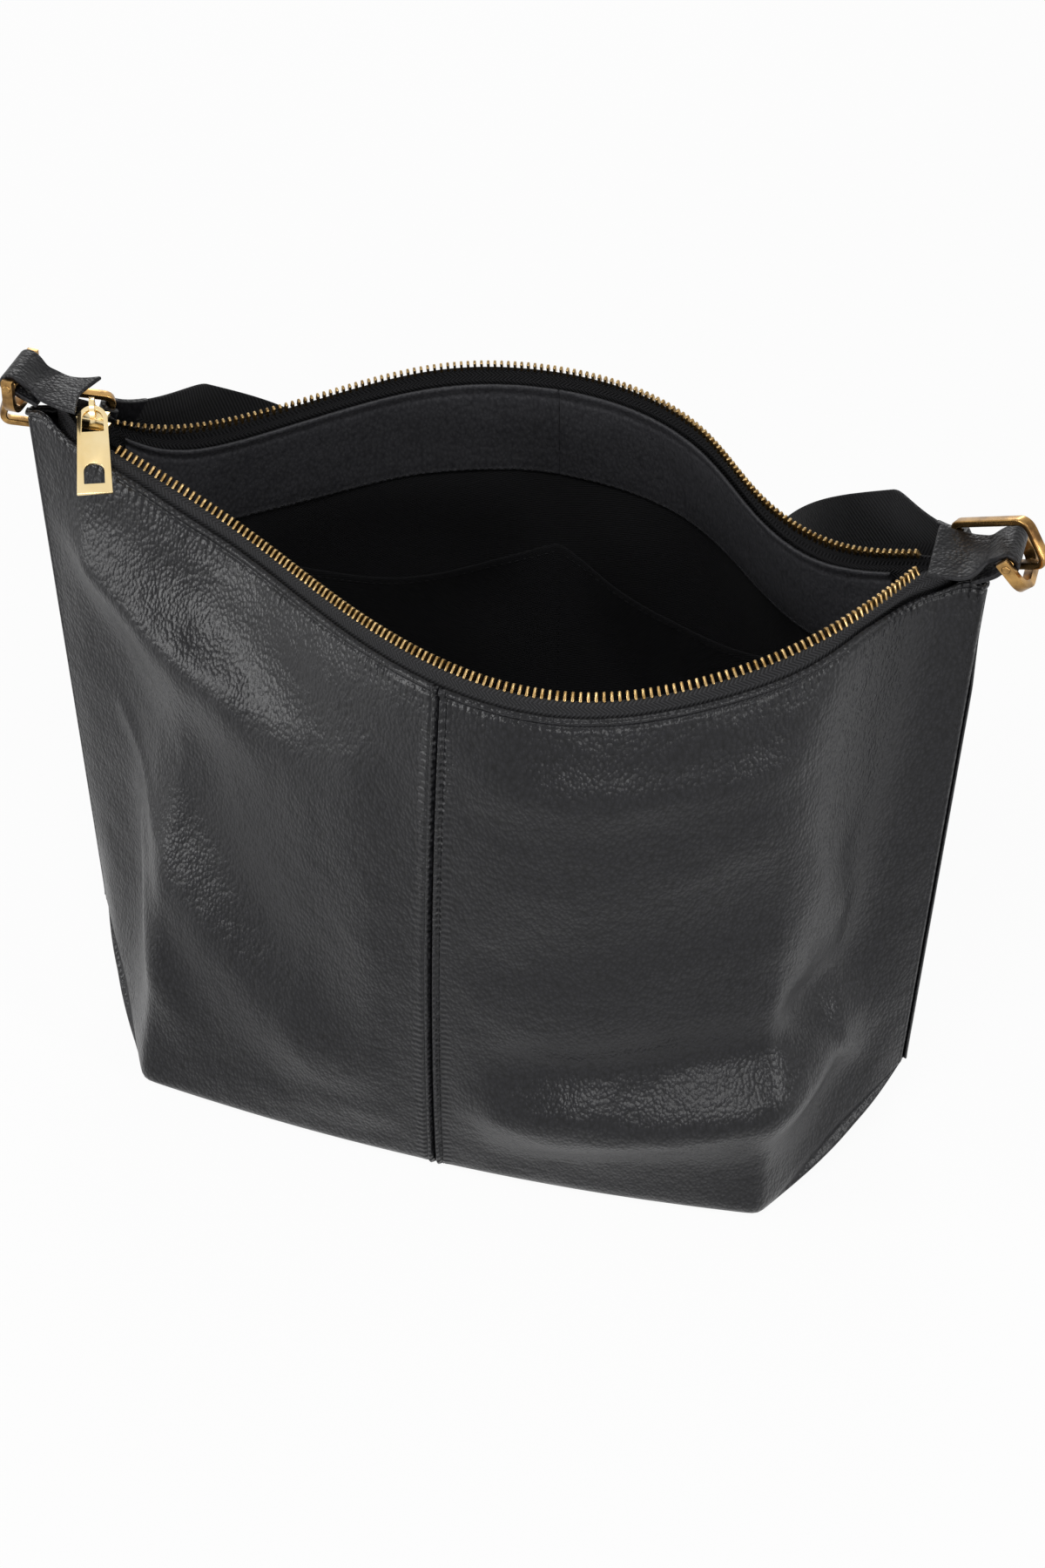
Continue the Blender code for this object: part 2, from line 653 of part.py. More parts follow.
def ring(name, far_end, frame):
    long_way, up = frame
    half_long = RING_LONG / 2 - RING_BAR / 2
    half_wide = RING_WIDE / 2 - RING_BAR / 2
    corner = 3.6
    centre = np.asarray(far_end, float) - half_long * long_way
    flat = []
    for cx, cy, start in ((1, 1, 0), (-1, 1, 90), (-1, -1, 180), (1, -1, 270)):
        for k in range(7):
            t = math.radians(start + 90 * k / 6)
            x = cx * (half_long - corner) + corner * math.cos(t)
            y = cy * (half_wide - corner) + corner * math.sin(t)
            flat.append((x, y))
    path = [centre + x * long_way + y * up for x, y in flat]
    eye = centre - half_long * long_way
    band(name, path, np.cross(long_way, up), RING_DEEP / 2, RING_BAR, "old_brass", True, eye)
    return eye


LEFT_RING = ring_frame(32, 18, -10, -1)
RIGHT_RING = ring_frame(37.5, 31, -11, 1)
left_eye = ring("left_link_ring", (-178.8, -0.4, 267.95), LEFT_RING)
right_eye = ring("right_link_ring", (187.2, -4.3, 282.7), RIGHT_RING)


# Strap: a leather chape round each ring's bar, then webbing that hangs behind the bag to the floor
STRAP_RIGHT = (134.0, 38.0, 242.0)
STRAP_LEFT = (-126.0, 46.0, 234.0)
spine = smooth_path([
    STRAP_LEFT, (-106, 68, 214), (-84, 94, 176), (-66, 113, 120), (-48, 122, 60), (-24, 130, 10),
    (0, 131, 1.6), (24, 130, 10), (50, 122, 60), (62, 112, 120), (77, 95, 170), (103, 62, 215), STRAP_RIGHT,
])
middle = spine(np.linspace(0, 1, 49))
middle[:, 2] = np.maximum(middle[:, 2], STRAP_THICK / 2 + 0.05)
upright = np.clip((middle[:, 2:3] - 60) / 170, 0, 1) ** 1.5
lay = unit(upright * np.array([0, 0.45, 0.89]) + (1 - upright) * np.array([0, 1.0, 0.0]))
band("strap_webbing", middle, lay, STRAP_WIDE / 2, STRAP_THICK, "webbing")


def chape(name, eye, frame, end, away, across, outward):
    """A strip folded round the ring's bar, widening to meet the end of the webbing."""
    long_way, up = frame
    normal = np.cross(long_way, up)
    if np.dot(normal, outward) < 0:
        normal = -normal
    turn_r = RING_DEEP / 2 + 0.75 + CHAPE / 2
    path = []
    for k in range(13):
        a = math.radians(-125 + 235 * k / 12)
        path.append(eye + turn_r * (math.cos(a) * long_way + math.sin(a) * normal))
    start = path[-1]
    stop = end + 2.4 * away
    one = start + 9 * unit(path[-1] - path[-2])
    two = stop + 9 * away
    turns = [up] * 13
    half = [4.3] * 13
    for k in range(1, 8):
        v = k / 7
        spot = (1 - v) ** 3 * start + 3 * v * (1 - v) ** 2 * one + 3 * v**2 * (1 - v) * two + v**3 * stop
        path.append(spot)
        turns.append(up + (across - up) * v)
        half.append(4.3 + (STRAP_WIDE / 2 - 5.3) * (3 * v**2 - 2 * v**3))
    path.append(end + 0.4 * away)
    turns.append(across)
    half.append(half[-1])
    band(name, path, turns, half, CHAPE, "leather")


chape("left_chape", left_eye, LEFT_RING, middle[0], unit(middle[0] - middle[1]), lay[0], (-0.6, 0.6, -0.4))
chape("right_chape", right_eye, RIGHT_RING, middle[-1], unit(middle[-1] - middle[-2]), lay[-1], (0.6, 0.6, -0.4))

# The frame's origin is on the floor, below the middle of the whole part's box
bpy.context.view_layer.update()
graph = bpy.context.evaluated_depsgraph_get()
corners = []
for obj in bag.objects:
    shape = obj.evaluated_get(graph)
    corners += [shape.matrix_world @ v.co for v in shape.data.vertices]
corners = np.array(corners)
middle = (corners.min(axis=0) + corners.max(axis=0)) / 2
shift = Vector((-middle[0], -middle[1], -corners[:, 2].min()))
for obj in list(bag.objects) + list(cutters.objects):
    obj.location = obj.location + shift
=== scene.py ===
# A black leather hobo bag with its zip open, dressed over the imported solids.
import math

import bpy
import numpy as np
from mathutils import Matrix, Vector


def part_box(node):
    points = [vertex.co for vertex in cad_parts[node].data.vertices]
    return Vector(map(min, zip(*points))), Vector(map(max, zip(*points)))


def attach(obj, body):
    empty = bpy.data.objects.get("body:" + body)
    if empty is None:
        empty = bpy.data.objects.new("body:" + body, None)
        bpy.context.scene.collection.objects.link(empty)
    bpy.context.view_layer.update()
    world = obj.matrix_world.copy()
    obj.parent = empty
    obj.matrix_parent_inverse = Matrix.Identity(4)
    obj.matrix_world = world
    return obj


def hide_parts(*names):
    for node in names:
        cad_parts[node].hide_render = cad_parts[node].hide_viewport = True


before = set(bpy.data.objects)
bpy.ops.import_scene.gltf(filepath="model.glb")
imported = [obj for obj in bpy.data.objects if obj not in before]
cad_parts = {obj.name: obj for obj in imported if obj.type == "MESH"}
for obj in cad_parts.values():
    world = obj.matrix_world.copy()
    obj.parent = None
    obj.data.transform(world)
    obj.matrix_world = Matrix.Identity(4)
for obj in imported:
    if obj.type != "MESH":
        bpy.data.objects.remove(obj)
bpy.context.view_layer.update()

MM = 0.001

# The body, in millimetres from the middle of the base, as in the part's own source
LEATHER = 1.6
GAP = 0.2
SEAM_TOP_LEFT = (-170.5, 266.3)
SEAM_TOP_RIGHT = (173.0, 260.5)
APEX_X = 163.0
APEX_Z = 33.0
BASE_X = 123.5
BASE_Y = 68.0
BASE_BOW = 8.0
CORNER_S = 0.203
EDGE_ROUND = 9.0
WALL_BULGE = 7.0
GUSSET_TUCK = 9.0
BODY_RUN = 420.0
WALL_TALL = 245.0
PANEL_THICK = 1.3
FACING_THICK = 1.1
FACING_IN = 2.8
FACING_S = (0.085, 0.5006)
LINING_THICK = 0.5
POCKET_THICK = 0.8
TAPE_THICK = 0.6
TEETH_FRONT = [
    (-151, -4, 265), (-118, -14, 258), (-81, -26, 248.5), (-31, -59, 248.5), (22, -87, 252.7),
    (62, -89, 255), (98, -74, 259.4), (127, -48, 264), (151, -4, 265),
]
TEETH_BACK = [
    (-151, 4, 265), (-129, 15, 255.5), (-100, 41, 250.5), (-53, 78, 254.5), (-15, 90, 256.7),
    (25, 87.5, 256.7), (60, 69, 254.5), (87, 40, 251.4), (119, 16.3, 253.3), (151, 4, 265),
]
RIM_OUT = {-1: 6.0, 1: 3.0}
RIM_DROP = {-1: 7.5, 1: 9.0}
ZIP_START = 16.0
PITCH = 2.5
FIRST_TOOTH_X = {-1: -134.0, 1: -142.0}
LAST_TOOTH_X = 150.8
TAIL_LEFT = (-159.0, 274.2)
TAIL_RIGHT = (161.0, 268.0)
RIM_RISE = 4.6
FACING_RISE = 3.2
POCKET_S = (0.24, 0.76)
POCKET_GAPE = 9.0

# End loops and strap
PIN_LEFT = (-172.0, 0.0, 281.0)
PIN_RIGHT = (179.0, 0.0, 275.0)
PIN_R = 2.2
TAB = 1.6
LOOP_HALF = 9.0
PATCH_HALF = 12.0
STRAP_WIDE = 38.0
STRAP_THICK = 1.5
RING_LONG = 40.0
RING_BAR = 2.5
RING_DEEP = 3.4
CHAPE = 1.5
STRAP_RIGHT = (134.0, 38.0, 242.0)
STRAP_LEFT = (-126.0, 46.0, 234.0)

# Sewing: distance of the stitches from the edge they hold, and their spacing
STITCH_PITCH = 3.0
STITCH_LONG = 2.2
STITCH_THICK = 0.8
SEAM_STITCH = 2.9
RIM_STITCH = 2.6

pin_low, pin_high = (np.array(corner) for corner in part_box("left_pin"))
ORIGIN = (pin_low + pin_high) / 2 - np.array(PIN_LEFT) * MM


# Curves
def unit(v):
    v = np.asarray(v, float)
    return v / np.linalg.norm(v, axis=-1, keepdims=True)


def smooth_path(points):
    """A natural cubic curve through the points; call it with shares of its length."""
    pts = np.array(points, float)
    steps = np.sqrt(np.linalg.norm(np.diff(pts, axis=0), axis=1))
    n = len(pts)
    left = np.eye(n)
    right = np.zeros((n, 3))
    for i in range(1, n - 1):
        left[i, i - 1] = steps[i - 1]
        left[i, i] = 2 * (steps[i - 1] + steps[i])
        left[i, i + 1] = steps[i]
        right[i] = 6 * ((pts[i + 1] - pts[i]) / steps[i] - (pts[i] - pts[i - 1]) / steps[i - 1])
    bend = np.linalg.solve(left, right)
    fine = []
    for i in range(n - 1):
        h = steps[i]
        u = np.linspace(0, h, 60, endpoint=i == n - 2)[:, None]
        lift = pts[i] + u * ((pts[i + 1] - pts[i]) / h - h * (2 * bend[i] + bend[i + 1]) / 6)
        fine.append(lift + u**2 * bend[i] / 2 + u**3 * (bend[i + 1] - bend[i]) / (6 * h))
    fine = np.concatenate(fine)
    run = np.concatenate([[0.0], np.cumsum(np.linalg.norm(np.diff(fine, axis=0), axis=1))])

    def at(share):
        where = np.atleast_1d(share) * run[-1]
        return np.stack([np.interp(where, run, fine[:, k]) for k in range(3)], axis=-1)

    at.length = run[-1]
    return at


def rim_path(side):
    teeth = np.array(TEETH_FRONT if side < 0 else TEETH_BACK, float)
    run = unit(np.gradient(teeth, axis=0))
    out = unit(np.stack([-side * run[:, 1], side * run[:, 0], 0 * run[:, 0]], axis=-1))
    ease = np.minimum(1.0, (151.0 - np.abs(teeth[:, :1])) / 30.0)
    shift = 4.0 + (RIM_OUT[side] - 4.0) * ease
    drop = 8.0 + (RIM_DROP[side] - 8.0) * ease
    inner = teeth + out * shift - np.array([0, 0, 1.0]) * drop
    inner[0] = (-152, side * 8.0, 262.5)
    inner[-1] = (152, side * 8.0, 257)
    ends = np.array([(x, side * GAP, z) for x, z in (SEAM_TOP_LEFT, SEAM_TOP_RIGHT)])
    return smooth_path(np.concatenate([ends[:1], inner, ends[1:]]))


RIMS = {side: rim_path(side) for side in (-1, 1)}
TEETH = {-1: smooth_path(TEETH_FRONT), 1: smooth_path(TEETH_BACK)}


def bottom_edge(side, s):
    if s <= CORNER_S or s >= 1 - CORNER_S:
        hand = -1 if s < 0.5 else 1
        share = min(1.0, (s if hand < 0 else 1 - s) / CORNER_S)
        x = hand * (APEX_X + (BASE_X - APEX_X) * share)
        z = LEATHER + (APEX_Z - LEATHER) * (1 - share) ** 1.2
        return np.array([x, side * (GAP + (BASE_Y - GAP) * share), z])
    x = BASE_X * (2 * (s - CORNER_S) / (1 - 2 * CORNER_S) - 1)
    return np.array([x, side * (BASE_Y + BASE_BOW * (1 - (x / BASE_X) ** 2)), LEATHER])


def wall(side, s, share):
    """Points down the wall at one station, for an array of shares of its height."""
    share = np.asarray(share, float)
    rim = RIMS[side](s)[0]
    low = bottom_edge(side, s)
    lean = (s - 0.5) * 2 * math.radians(65)
    out = np.array([math.sin(lean), side * math.cos(lean), 0])
    hand = min(s, 1 - s) / CORNER_S
    tuck = GUSSET_TUCK * math.sin(math.pi * min(hand, 1.0)) ** 2
    bulge = WALL_BULGE * min(1.0, max(0.0, (hand - 1.0) / 0.8))
    swell = 4 * share * (1 - share)
    fold = 27 / 4 * share**2 * (1 - share)
    return rim + (low - rim) * share[:, None] + out * (bulge * swell - tuck * fold)[:, None]


def profile(side, s, rows, turns, base):
    """From the rim down the wall, round the bottom edge and in to the middle of the base."""
    low = bottom_edge(side, s)
    keel = np.array([low[0], side * GAP, low[2]])
    tall = np.linalg.norm(np.diff(wall(side, s, (0.8, 1.0)), axis=0)) / 0.2
    inward = np.linalg.norm(keel - low)
    turn = min(EDGE_ROUND, 0.3 * inward + 0.2)
    start = wall(side, s, (1 - turn / tall,))[0]
    stop = low + (keel - low) * (turn / inward if inward > 1e-6 else 0.0)
    v = np.linspace(0, 1, turns)[:, None]
    corner = (1 - v) ** 2 * start + 2 * v * (1 - v) * low + v**2 * stop
    floor = stop + (keel - stop) * np.linspace(0, 1, base + 1)[1:, None]
    return np.concatenate([wall(side, s, rows), corner, floor])


def surface(side, stations, rows, turns=4, base=2):
    """The inner face of the leather as a grid of points, and its outward normals."""
    spots = np.array([profile(side, s, rows, turns, base) for s in stations])
    step = 0.004
    normals = np.zeros_like(spots)
    for i, s in enumerate(stations):
        before = profile(side, max(0.0, s - step), rows, turns, base)
        after = profile(side, min(1.0, s + step), rows, turns, base)
        down = np.gradient(spots[i], axis=0)
        down[np.linalg.norm(down, axis=1) < 1e-6] = (0, -side, 0)
        normals[i] = unit(np.cross(after - before, down) * side)
    if stations[0] < 0.01:
        normals[0, len(rows) + 1:] = unit((-1.0, 0, -0.25))
    if stations[-1] > 0.99:
        normals[-1, len(rows) + 1:] = unit((1.0, 0, -0.25))
    return spots, normals


def rise(side, stations, down, height):
    """The rolled edge's climb up the tape towards the teeth, fading at the zip's ends and down the wall."""
    whole = RIMS[side].length
    share = np.clip((stations * whole - ZIP_START) / (whole - 2 * ZIP_START), 0, 1)
    toward = unit(TEETH[side](share) - RIMS[side](stations))
    ends = np.clip(np.minimum(share, 1 - share) / 0.1, 0, 1)
    fade = np.clip(1 - down / 16, 0, 1) ** 2
    climb = (height * ends[:, None] * fade)[..., None] * toward[:, None]
    # the front leather also lifts a little where it meets the end tabs
    x = RIMS[side](stations)[:, 0]
    corner = 5.0 * np.exp(-(((x + 161) / 7) ** 2)) + 3.0 * np.exp(-(((x - 165) / 6) ** 2))
    climb[..., 2] += (corner[:, None] if side < 0 else 0.0) * fade
    return climb


# Soft folds of the leather: start and end as (along mm from the centre seam, down mm from the rim),
# height and half width in mm
FOLDS = {
    -1: [
        (-168, 42, -104, 50, 8.6, 21), (-140, 92, -70, 140, -1.8, 22), (-112, 146, -42, 190, 3.6, 19),
        (-150, 150, -118, 196, 3.0, 10), (-96, 228, -26, 216, 2.4, 8), (-34, 60, -18, 170, 1.8, 16),
        (20, 24, 110, 28, 4.2, 11), (26, 112, 100, 90, -2.2, 22), (40, 166, 152, 160, -3.0, 12),
        (50, 202, 150, 194, 10.2, 20), (30, 226, 80, 218, -1.6, 8), (118, 60, 160, 120, 2.8, 14),
        (160, 130, 172, 196, 1.8, 9), (136, 150, 176, 214, -1.4, 6), (10, 198, 50, 186, 2.2, 10),
        (124, 128, 150, 160, -1.2, 6), (146, 178, 178, 202, 1.8, 5), (-170, 110, -140, 128, 1.6, 5),
    ],
    1: [
        (-110, 200, -50, 150, 3.2, 14), (40, 210, 110, 160, 3.4, 13), (-20, 90, 60, 130, 2.4, 22),
        (-150, 90, -110, 150, 2.6, 12), (120, 60, 150, 140, 2.4, 12), (-70, 40, 20, 60, -2.2, 18),
        (-90, 180, 10, 205, -2.6, 12), (60, 120, 130, 150, -2.2, 12),
    ],
}


def folds(side, along, down):
    """How far the leather stands out at a place on the wall, fading to nothing at the edges."""
    total = np.zeros(np.broadcast(along, down).shape)
    for a0, d0, a1, d1, high, wide in FOLDS[side]:
        run = np.array([a1 - a0, d1 - d0], float)
        length = np.hypot(*run)
        t = ((along - a0) * run[0] + (down - d0) * run[1]) / length**2
        off = ((along - a0) * run[1] - (down - d0) * run[0]) / length
        over = np.maximum(0.0, np.maximum(-t, t - 1)) * length
        total += high * np.exp(-((off / wide) ** 2) - (over / (wide * 1.6)) ** 2)
    total += 0.7 * np.sin(along / 17.0 + 1.3 * side) * np.sin(down / 23.0 + along / 41.0)
    low = np.clip((WALL_TALL - down) / 64, 0, 1)
    keep = np.clip((down - 14) / 30, 0, 1) * low * low * (3 - 2 * low)
    keep = keep * np.clip((np.abs(np.abs(along) - BODY_RUN / 2) - 4) / 26, 0, 1)
    return total * keep * np.clip((np.abs(along) - 6) / 18, 0, 1)


# Modelling helpers
def start_object():
    if bpy.context.object and bpy.context.object.mode != "OBJECT":
        bpy.ops.object.mode_set(mode="OBJECT")
    bpy.ops.object.select_all(action="DESELECT")


def finish_modifiers(obj):
    start_object()
    obj.select_set(True)
    bpy.context.view_layer.objects.active = obj
    for step in list(obj.modifiers):
        bpy.ops.object.modifier_apply(modifier=step.name)


def cloth_grid(name, points, uv=None, flip=False):
    """A grid laid over an array of points in mm, with its UV map in metres."""
    ni, nj = points.shape[:2]
    start_object()
    bpy.ops.mesh.primitive_grid_add(x_subdivisions=ni - 1, y_subdivisions=nj - 1, size=2)
    obj = bpy.context.object
    obj.name = name
    mesh = obj.data
    mesh.name = name
    flat = np.empty(len(mesh.vertices) * 3)
    mesh.vertices.foreach_get("co", flat)
    flat = flat.reshape(-1, 3)
    i = np.rint((flat[:, 0] + 1) / 2 * (ni - 1)).astype(int)
    j = np.rint((flat[:, 1] + 1) / 2 * (nj - 1)).astype(int)
    mesh.vertices.foreach_set("co", (points[i, j] * MM + ORIGIN).ravel())
    if uv is not None:
        corner = np.empty(len(mesh.loops), int)
        mesh.loops.foreach_get("vertex_index", corner)
        mesh.uv_layers[0].data.foreach_set("uv", (uv[i, j] * MM)[corner].ravel())
    if flip:
        mesh.flip_normals()
    mesh.update()
    return obj


def thicken(obj, thick, offset=-1.0, levels=1):
    wall_step = obj.modifiers.new("thickness", "SOLIDIFY")
    wall_step.thickness = thick * MM
    wall_step.offset = offset
    if levels:
        soft = obj.modifiers.new("rounding", "SUBSURF")
        soft.levels = levels
        soft.render_levels = levels
    finish_modifiers(obj)
    bpy.ops.object.shade_smooth()
    return obj


def dress(obj, material, body, slot, *nodes):
    """Gives a finished piece its material and body, and hides the solids that it stands for. The slot
    argument is not used.
    """
    obj.data.materials.clear()
    obj.data.materials.append(material)
    if nodes:
        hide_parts(*nodes)
    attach(obj, body)
    return obj


def rounded_copy(node, name, width, segments=3, angle=35.0):
    """A copy of a metal solid with its sharp edges eased."""
    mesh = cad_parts[node].data.copy()
    obj = bpy.data.objects.new(name, mesh)
    bpy.context.scene.collection.objects.link(obj)
    start_object()
    obj.select_set(True)
    bpy.context.view_layer.objects.active = obj
    bpy.ops.object.mode_set(mode="EDIT")
    bpy.ops.mesh.select_all(action="SELECT")
    bpy.ops.mesh.remove_doubles(threshold=0.000002)
    bpy.ops.mesh.dissolve_limited(angle_limit=math.radians(3))
    bpy.ops.object.mode_set(mode="OBJECT")
    ease = obj.modifiers.new("eased_edges", "BEVEL")
    ease.width = width * MM
    ease.segments = segments
    ease.limit_method = "ANGLE"
    ease.angle_limit = math.radians(angle)
    ease.use_clamp_overlap = True
    finish_modifiers(obj)
    bpy.ops.object.shade_smooth_by_angle(angle=math.radians(40))
    return obj


def scattered(name, pattern, spots, axes):
    """Copies of one small mesh, each set at a spot on its own three axes."""
    shape = np.array([v.co for v in pattern.data.vertices])
    faces = np.array([p.vertices[:] for p in pattern.data.polygons if len(p.vertices) == 4])
    threes = np.array([p.vertices[:] for p in pattern.data.polygons if len(p.vertices) == 3])
    placed = np.einsum("vk,nkx->nvx", shape, axes) + (spots * MM + ORIGIN)[:, None, :]
    shift = np.arange(len(spots))[:, None, None] * len(shape)
    polygons = []
    for group in (faces, threes):
        if len(group):
            polygons += (group[None] + shift).reshape(-1, group.shape[1]).tolist()
    mesh = bpy.data.meshes.new(name)
    mesh.from_pydata(placed.reshape(-1, 3).tolist(), [], polygons)
    mesh.shade_smooth()
    obj = bpy.data.objects.new(name, mesh)
    bpy.context.scene.collection.objects.link(obj)
    return obj


# Materials
def linear(hex_colour):
    """An sRGB hex colour as linear values."""
    values = [int(hex_colour[k:k + 2], 16) / 255 for k in (1, 3, 5)]
    return tuple(v / 12.92 if v <= 0.04045 else ((v + 0.055) / 1.055) ** 2.4 for v in values) + (1.0,)


def add(tree, kind, settings=None, links=None):
    """One node with its settings, its input values and its links."""
    node = tree.nodes.new(kind)
    for key, value in (settings or {}).items():
        setattr(node, key, value)
    for key, value in (links or {}).items():
        if isinstance(value, bpy.types.NodeSocket):
            tree.links.new(value, node.inputs[key])
        else:
            node.inputs[key].default_value = value
    return node


def new_material(name):
    made = bpy.data.materials.new(name)
    made.use_nodes = True
    return made, made.node_tree, made.node_tree.nodes["Principled BSDF"]


def grained_leather(name, dark, light, grain_mm, gloss, sewn):
    """Drum-dyed cowhide: near black, with a soft sheen that a pebbled grain, fine wrinkles and the
    puckers beside its stitches break up. The grain is drawn coarser than a real one of about 0.7 mm,
    so that it shows in the render."""
    made, tree, skin = new_material(name)
    place = add(tree, "ShaderNodeTexCoord").outputs["Object"]
    blotch = add(tree, "ShaderNodeTexNoise", None, {"Vector": place, "Scale": 1 / 0.05, "Detail": 4.0})
    bend = add(tree, "ShaderNodeTexNoise", None, {"Vector": place, "Scale": 1 / 0.0025, "Detail": 2.0})
    wander = add(tree, "ShaderNodeMix", {"data_type": "VECTOR"}, {
        "Factor": 0.001, 4: place, 5: bend.outputs["Color"],
    })
    lean = add(tree, "ShaderNodeMapping", None, {
        "Vector": wander.outputs[1], "Scale": (1.0, 1.0, 0.62), "Rotation": (0.0, 0.45, 0.0),
    })
    pebble = add(tree, "ShaderNodeTexVoronoi", {"feature": "SMOOTH_F1"}, {
        "Vector": lean.outputs[0], "Scale": 1000 / grain_mm, "Smoothness": 0.3,
    })
    long_lines = add(tree, "ShaderNodeMapping", None, {
        "Vector": wander.outputs[1], "Scale": (0.3, 0.6, 1.0), "Rotation": (0.0, 0.25, 0.0),
    })
    wrinkle = add(tree, "ShaderNodeTexNoise", {"noise_type": "RIDGED_MULTIFRACTAL"}, {
        "Vector": long_lines.outputs[0], "Scale": 1 / 0.0048, "Detail": 4.0, "Roughness": 0.6,
    })
    patchy = add(tree, "ShaderNodeMapRange", None, {
        "Value": blotch.outputs["Fac"], "From Min": 0.4, "From Max": 0.62, "To Min": 0.15, "To Max": 1.0,
    })
    lines = add(tree, "ShaderNodeMath", {"operation": "MULTIPLY"}, {
        0: wrinkle.outputs["Fac"], 1: patchy.outputs["Result"],
    })
    sag = add(tree, "ShaderNodeTexNoise", None, {"Vector": place, "Scale": 1 / 0.022, "Detail": 3.0})
    # The creases between the pebbles are darker than the pebbles: partly the grain's own tone, partly painted
    # shade in the creases.
    colour = add(tree, "ShaderNodeMix", {"data_type": "RGBA"}, {
        "Factor": pebble.outputs["Distance"], "A": linear(light), "B": linear(dark),
    })
    shine = add(tree, "ShaderNodeMapRange", None, {
        "Value": blotch.outputs["Fac"], "From Min": 0.3, "From Max": 0.7,
        "To Min": gloss[0], "To Max": gloss[1],
    })
    normal = add(tree, "ShaderNodeBump", None, {
        "Strength": 0.5, "Distance": 0.003, "Height": sag.outputs["Fac"],
    })
    if sewn:
        flat = add(tree, "ShaderNodeUVMap", {"uv_map": "UVMap"})
        spot = add(tree, "ShaderNodeSeparateXYZ", None, {0: flat.outputs[0]})
        off = add(tree, "ShaderNodeMath", {"operation": "ABSOLUTE"}, {0: spot.outputs["X"]})
        for near, along in ((off.outputs[0], spot.outputs["Y"]), (spot.outputs["Y"], spot.outputs["X"])):
            fade = add(tree, "ShaderNodeMapRange", {"interpolation_type": "SMOOTHSTEP"}, {
                "Value": near, "From Min": 0.0026, "From Max": 0.009, "To Min": 1.0, "To Max": 0.0,
            })
            step = add(tree, "ShaderNodeMath", {"operation": "MULTIPLY"}, {
                0: along, 1: 2 * math.pi / (STITCH_PITCH * MM),
            })
            wave = add(tree, "ShaderNodeMath", {"operation": "SINE"}, {0: step.outputs[0]})
            pull = add(tree, "ShaderNodeMath", {"operation": "MULTIPLY"}, {
                0: wave.outputs[0], 1: fade.outputs["Result"],
            })
            uneven = add(tree, "ShaderNodeMath", {"operation": "MULTIPLY"}, {
                0: pull.outputs[0], 1: patchy.outputs["Result"],
            })
            normal = add(tree, "ShaderNodeBump", None, {
                "Strength": 0.6, "Distance": 0.0006, "Height": uneven.outputs[0], "Normal": normal.outputs[0],
            })
    for height, strength, deep, sunk in (
        (lines.outputs[0], 0.6, 0.0003, False), (pebble.outputs["Distance"], 0.9, 0.00026, True),
    ):
        normal = add(tree, "ShaderNodeBump", {"invert": sunk}, {
            "Strength": strength, "Distance": deep, "Height": height, "Normal": normal.outputs[0],
        })
    tree.links.new(colour.outputs["Result"], skin.inputs["Base Color"])
    tree.links.new(shine.outputs["Result"], skin.inputs["Roughness"])
    tree.links.new(normal.outputs[0], skin.inputs["Normal"])
    skin.inputs["Specular IOR Level"].default_value = 0.22
    return made


def woven_cloth(name, colour, high, rib_mm, column_mm, depth_mm, rough):
    """Black woven cloth: slanting ribs that turn back at each column give it a dull, lined look. The
    ribs are drawn two to three times as wide as real ones, so that they show in the render."""
    made, tree, cloth = new_material(name)
    place = add(tree, "ShaderNodeUVMap", {"uv_map": "UVMap"}).outputs[0]
    apart = add(tree, "ShaderNodeSeparateXYZ", None, {0: place})
    across = add(tree, "ShaderNodeMath", {"operation": "PINGPONG"}, {
        0: apart.outputs["Y"], 1: column_mm * MM,
    })
    slant = add(tree, "ShaderNodeMath", {"operation": "ADD"}, {0: apart.outputs["X"], 1: across.outputs[0]})
    turns = add(tree, "ShaderNodeMath", {"operation": "MULTIPLY"}, {
        0: slant.outputs[0], 1: 2 * math.pi / (rib_mm * MM),
    })
    rib = add(tree, "ShaderNodeMath", {"operation": "SINE"}, {0: turns.outputs[0]})
    share = add(tree, "ShaderNodeMapRange", None, {
        "Value": rib.outputs[0], "From Min": -1.0, "From Max": 1.0,
    })
    fuzz_place = add(tree, "ShaderNodeTexCoord").outputs["Object"]
    fuzz = add(tree, "ShaderNodeTexNoise", None, {"Vector": fuzz_place, "Scale": 1 / 0.0008, "Detail": 3.0})
    tint = add(tree, "ShaderNodeMix", {"data_type": "RGBA"}, {
        "Factor": share.outputs["Result"], "A": linear(colour), "B": linear(high),
    })
    ribs = add(tree, "ShaderNodeBump", None, {
        "Strength": 0.7, "Distance": depth_mm * MM, "Height": share.outputs["Result"],
    })
    hairs = add(tree, "ShaderNodeBump", None, {
        "Strength": 0.3, "Distance": 0.0002, "Height": fuzz.outputs["Fac"], "Normal": ribs.outputs[0],
    })
    tree.links.new(tint.outputs["Result"], cloth.inputs["Base Color"])
    tree.links.new(hairs.outputs[0], cloth.inputs["Normal"])
    cloth.inputs["Roughness"].default_value = rough
    cloth.inputs["Specular IOR Level"].default_value = 0.2
    return made


